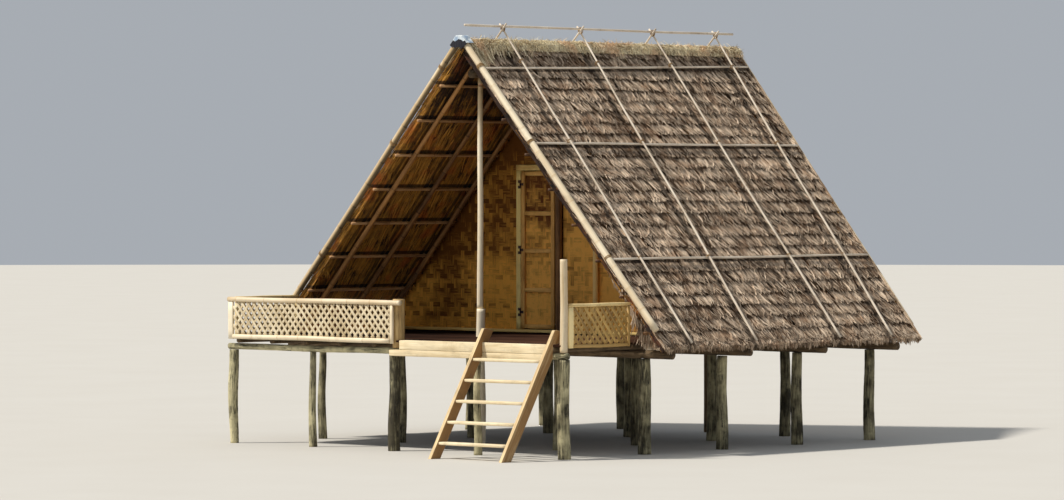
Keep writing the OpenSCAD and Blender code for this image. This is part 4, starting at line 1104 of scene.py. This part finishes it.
def loose_straws(rng):
    """Ends that stand out of the cap in tufts or hang below its edge."""
    count = 7200
    even, bell = draws(rng, count)
    tufts = rng.uniform(CAP_Y0, CAP_Y1, 90)
    y = even(CAP_Y0, CAP_Y1)
    y = where(even(0, 1) < 0.45, tufts[rng.integers(0, 90, count)] + bell(0, 0.02), y)
    arc = even(-1, 1)
    hang = np.abs(arc) > 0.72
    s = np.abs(arc) * CAP_W
    level = CAP_T * 0.72 * (1 - np.abs(arc) ** 3 * 0.6)
    foot = stack([sign(arc) * (s * COS + level * SIN * np.abs(arc)), y, RIDGE - s * SIN + level * 0.9], -1)
    way = stack([sign(arc) * even(0.1, 0.9), bell(0, 0.9), even(-0.7, 0.65)], -1)
    down = stack([sign(arc) * (COS + bell(0, 0.1)), bell(0, 0.22), -SIN + bell(0.04, 0.1)], -1)
    proud = (even(0, 1) < 0.16) & ~hang
    way = where(hang[:, None], down, way)
    way[:, 2] = where(proud, even(0.5, 1.1), way[:, 2])
    way = unit(way)
    below = minimum(0.004 + rng.exponential(0.022, count) * (1 + 0.8 * sin(y * 11 + sin(y * 5) * 2)), 0.13)
    long = where(hang, below, even(0.02, 0.07) + 0.035 * proud)[:, None]
    share = array([0.0, 0.5, 1.0])
    lines = foot[:, None] + way[:, None] * (long * share)[..., None]
    lines[..., 2] -= 0.35 * (long * share ** 2)
    half = even(0.0012, 0.0032)[:, None] * array([1, 0.85, 0.35])
    straw_strips(lines, half, unit(np.cross(way, rng.normal(0, 1, (count, 3)))), bell(0.16, 0.3), rng)


def verge_straws(rng, seed):
    """Straw laid down along the front verge."""
    even, bell = draws(rng, 1500)
    y = VERGE_FRONT + 0.008 + minimum(rng.exponential(0.13, 1500), 0.7)
    s0 = even(0.02, 0.16)
    s1 = s0 + even(0.08, 0.36) * maximum(1.1 - (y - VERGE_FRONT) / 0.45, 0.25)
    for side in (-1, 1):
        strands(side, s0, s1, y, even(-0.040, 0.000), even(-0.008, 0.006), even(0.004, 0.011), bell(0.05, 0.14),
                bell(0, 0.4), bell(0.0, 0.3), seed + side, tip=0.3)


def straw_core():
    """The closed form under the straws of the cap."""
    rows, steps = 120, 15
    ys = linspace(CAP_Y0 + 0.002, CAP_Y1 - 0.002, rows)
    a = linspace(-1, 1, steps)
    s = np.abs(a) * (CAP_W - 0.014)
    tall = CAP_T * 0.58 * (1 - np.abs(a) ** 3)
    over = stack([sign(a) * (s * COS + tall * SIN * np.abs(a)), 0.006 - s * SIN + tall * 0.9], -1)
    under = stack([sign(a) * s * COS, 0.002 - s * SIN], -1)[::-1]
    section = np.repeat(concatenate([over, under])[None], rows, axis=0)
    section[:, :steps, 1] += 0.003 * sin(ys[:, None] * 21 + arange(steps)[None] * 2.0) - 0.003
    sweep(pile, stack([np.zeros(rows), ys, np.full(rows, RIDGE)], -1), section, 3.0, -0.35)


rng = np.random.default_rng(900)
bent_straws(rng)
loose_straws(rng)
verge_straws(rng, 903)
pile.piece("ridge_straws", straw, ["ridge_cap"], "ridge_straw", smooth=False)
straw_core()
pile.piece("ridge_straw_core", straw, (), "ridge_straw")

# Poles over the thatch
REAR_N = 0.018
LEVEL_N, LEVEL_TOP_N = -0.0143, -0.0286
CAP_N = -(CAP_T + SEAT + SLANT / 2)
SLANT_RATE = (LEVEL_TOP_N - SLANT / 2 - CAP_N) / (19 * COURSE - CAP_W)


def rear_pole_end(side, s):
    """A place of the rear pole, which leans with the rear verge."""
    y = VERGE_REAR - (s * SIN + REAR_N * COS) * VERGE_LEAN / (RIDGE - EAVE) + 0.0184
    return on_roof(side, s, y, REAR_N)


# The left barge pole's lower side is darker as painted shade
for side, tone, under in ((-1, -0.2, 1.5), (1, 0.08, 0.0)):
    culm(on_roof(side, SLOPE - 0.24, BARGE_Y, BARGE_N), on_roof(side, 0.006, BARGE_Y, BARGE_N), BARGE, 0.074,
         931 + side, joint=0.31, bend=0.005, around=18, tone=tone, body=0.95, under=under)
    culm(rear_pole_end(side, SLOPE - 0.24), rear_pole_end(side, 0.03), 0.036, 0.03, 935 + side, joint=0.4, bend=0.004)
pile.piece("barge_culms", pale_culm, ["barge_poles"], "pale_pole")
for side in (-1, 1):
    for s in (LEVELS[0][0] + 0.06, LEVELS[1][0], LEVELS[2][0]):
        ring_tie(on_roof(side, s, BARGE_Y, BARGE_N), (side * COS, 0, -SIN), 0.040, 0.040, (0, 1, 0), turns=5,
                 cord=0.0035, seed=int(s * 10))
tip_z = middle("ridge_tip_poles", 2)
for i, (y, lean) in enumerate(SLANTS):
    for side in (-1, 1):
        shift = side * (SLANT / 2 + 0.001)
        low_n, high_n = (CAP_N + (s - CAP_W) * SLANT_RATE for s in (SLANT_LOW, SLANT_HIGH))
        low, high = on_roof(side, SLANT_LOW, y - lean + shift, low_n), on_roof(side, SLANT_HIGH, y + shift, high_n)
        culm(low, high, SLANT, 0.023, 940 + i * 2 + side, bend=0.008)
        for s, _ in LEVELS:
            spot = low + (high - low) * ((SLANT_LOW - s) / (SLANT_LOW - SLANT_HIGH))
            ring_tie(spot + into_roof(side, 0.012), (high - low) * 0.8 + array([0, 0.6, 0]), 0.019, 0.028,
                     into_roof(side), seed=i * 7 + int(s * 10))
    ring_tie((0, y, tip_z - 0.02), (0, 1, 0), 0.028, 0.038, (0, 0, 1), turns=4, seed=i)
pile.piece("slanting_culms", roof_culm, ["slanting_poles"], "pale_pole")
for side in (-1, 1):
    for i, (s, lean) in enumerate(LEVELS):
        culm(on_roof(side, s + lean / 2, VERGE_FRONT + 0.06, LEVEL_N),
             on_roof(side, s - lean / 2, rear_edge(s) - 0.04, LEVEL_N),
             0.028, 0.026, 950 + i * 2 + side, bend=0.005, around=10)
pile.piece("level_culms", roof_culm, ["level_poles"], "pale_pole")
lo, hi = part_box("ridge_tip_poles")
for start_y, end_y, seed, bend in ((lo[1], SLANTS[1][0] - 0.001, 961, 0.003),
                                   (hi[1], SLANTS[1][0] + 0.001, 962, 0.004)):
    culm((0, start_y, tip_z), (0, end_y, tip_z), 0.03, 0.026, seed, bend=bend)
pile.piece("tip_culms", roof_culm, ["ridge_tip_poles"], "pale_pole")
for side in (-1, 1):
    for i in range(2, 9):
        for k, s in enumerate(PURLIN_S):
            ring_tie(on_roof(side, s, i * BAY_Y / 2, (rafter_n + purlin_n) / 2), (side * COS, 0.8, -SIN), 0.030, 0.052,
                     into_roof(side), turns=2, seed=i * 9 + k, sides=4, steps=10)
ties.piece("pole_lashings", tie_cord, (), "pale_pole")


# A scrap of plastic sheet over the heads of the barge poles, with a dark flap in front
def plastic_scrap():
    """Creased cloudy sheet bent over the cap; its first columns hang down in front, the others lie along it."""
    rows, hanging, lying = 56, 22, 28
    t = 0.004
    n0 = -(CAP_T + SEAT + t / 2)
    flat_z = RIDGE + CAP_T * 0.9 + t
    half_top = (RIDGE - n0 / COS - flat_z) * COS / SIN
    left, right = on_roof(-1, 0.115, 0, n0), on_roof(1, 0.085, 0, n0)
    corners = array([(left[0], left[2]), (-half_top, flat_z), (half_top, flat_z), (right[0], right[2])])
    marks = concatenate([[0], np.cumsum(np.linalg.norm(np.diff(corners, axis=0), axis=1))])
    run = linspace(0, marks[-1], rows)
    x, z = interp(run, marks, corners[:, 0]), interp(run, marks, corners[:, 1])
    for _ in range(6):
        for line in (x, z):
            line[1:-1] = (line[:-2] + line[1:-1] * 2 + line[2:]) / 4
    front = BARGE_Y - BARGE / 2 - 0.004
    down = concatenate([linspace(1, 0, hanging, endpoint=False), np.zeros(lying)])
    along = concatenate([np.zeros(hanging), linspace(0, 0.119, lying)])
    rr, dd = np.meshgrid(run, down, indexing="ij")
    aa = np.broadcast_to(along, rr.shape)
    hem = RIDGE - 0.062 + 0.008 * sin(rr * 45) + 0.004 * sin(rr * 110)
    drop = dd * maximum(z[:, None] - hem, 0.012)
    crease = (np.abs(sin(rr * 38 + aa * 21)) * 0.5 + np.abs(sin(aa * 47 - rr * 23 + 1.3)) * 0.3
              + sin(rr * 90 + aa * 60) * 0.1)
    out = -unit(stack([np.gradient(z), -np.gradient(x)], -1))
    lift = -0.001 + 0.0045 * crease
    gather = 1 - 0.3 * dd
    points = stack([(x[:, None] + out[:, None, 0] * lift) * gather,
                    front + aa - 0.005 * np.abs(sin(rr * 60)) * dd,
                    z[:, None] + out[:, None, 1] * lift - drop], -1)
    dark = ((points[..., 2] < RIDGE + 0.022 + 0.012 * sin(rr * 40)) & (dd > 0)).astype(float)
    pile.add(points, grid_quads(1, rows, hanging + lying), stack([aa - drop, rr, 0 * rr], -1), dark)
    m = Finish("clouded_plastic")
    cloud = m.noise(14.0, 4)
    fold = m.noise(70.0, 3)
    colour = m.blend(cloud.rise(0.35, 0.65), paint(150, 172, 196), paint(232, 238, 238))
    colour = m.blend(fold.rise(0.5, 0.8) * 0.4, colour, paint(96, 120, 150))
    colour = m.blend(m.tone().rise(0.3, 0.7), colour, paint(22, 20, 30))
    sheet = m.close(colour, 0.3 + fold * 0.25, fold, 0.002)
    obj = pile.piece("plastic_scrap", sheet, ["ridge_sheet"], "plastic_sheet")


plastic_scrap()

# Floor, light and camera
bpy.ops.mesh.primitive_circle_add(vertices=96, radius=120, fill_type="NGON")
ground = bpy.context.object
ground.name = "studio_floor"
m = Finish("pale_floor")
ground.data.materials.append(m.close(
    m.blend(m.noise(0.7), paint(196, 192, 184), paint(202, 199, 192)), 0.9))


def place_aimed(name, data, place, target):
    """A new object at a place that looks at a target."""
    obj = bpy.data.objects.new(name, data)
    bpy.context.scene.collection.objects.link(obj)
    obj.location = place
    obj.rotation_mode = "QUATERNION"
    obj.rotation_quaternion = (Vector(target) - Vector(place)).to_track_quat("-Z", "Y")
    return obj


view = bpy.data.cameras.new("camera")
view.sensor_width, view.lens, view.clip_end = 36, 165, 500
bpy.context.scene.camera = place_aimed("camera", view, (36.94, -39.08, 2.98), (0.35, 1.9, 2.2))
sun = bpy.data.lights.new("sun", "SUN")
sun.energy, sun.color, sun.angle = 3.9, (1.0, 0.95, 0.87), 0.09
place_aimed("sun", sun, (-5, -6, 10), (0, 0, 0))
world = bpy.data.worlds.new("soft_sky")
bpy.context.scene.world = world
world.use_nodes = True
sky = world.node_tree.nodes["Background"].inputs
sky["Color"].default_value, sky["Strength"].default_value = (0.86, 0.92, 1.0, 1), 0.45
bpy.context.scene.view_settings.view_transform = "Standard"
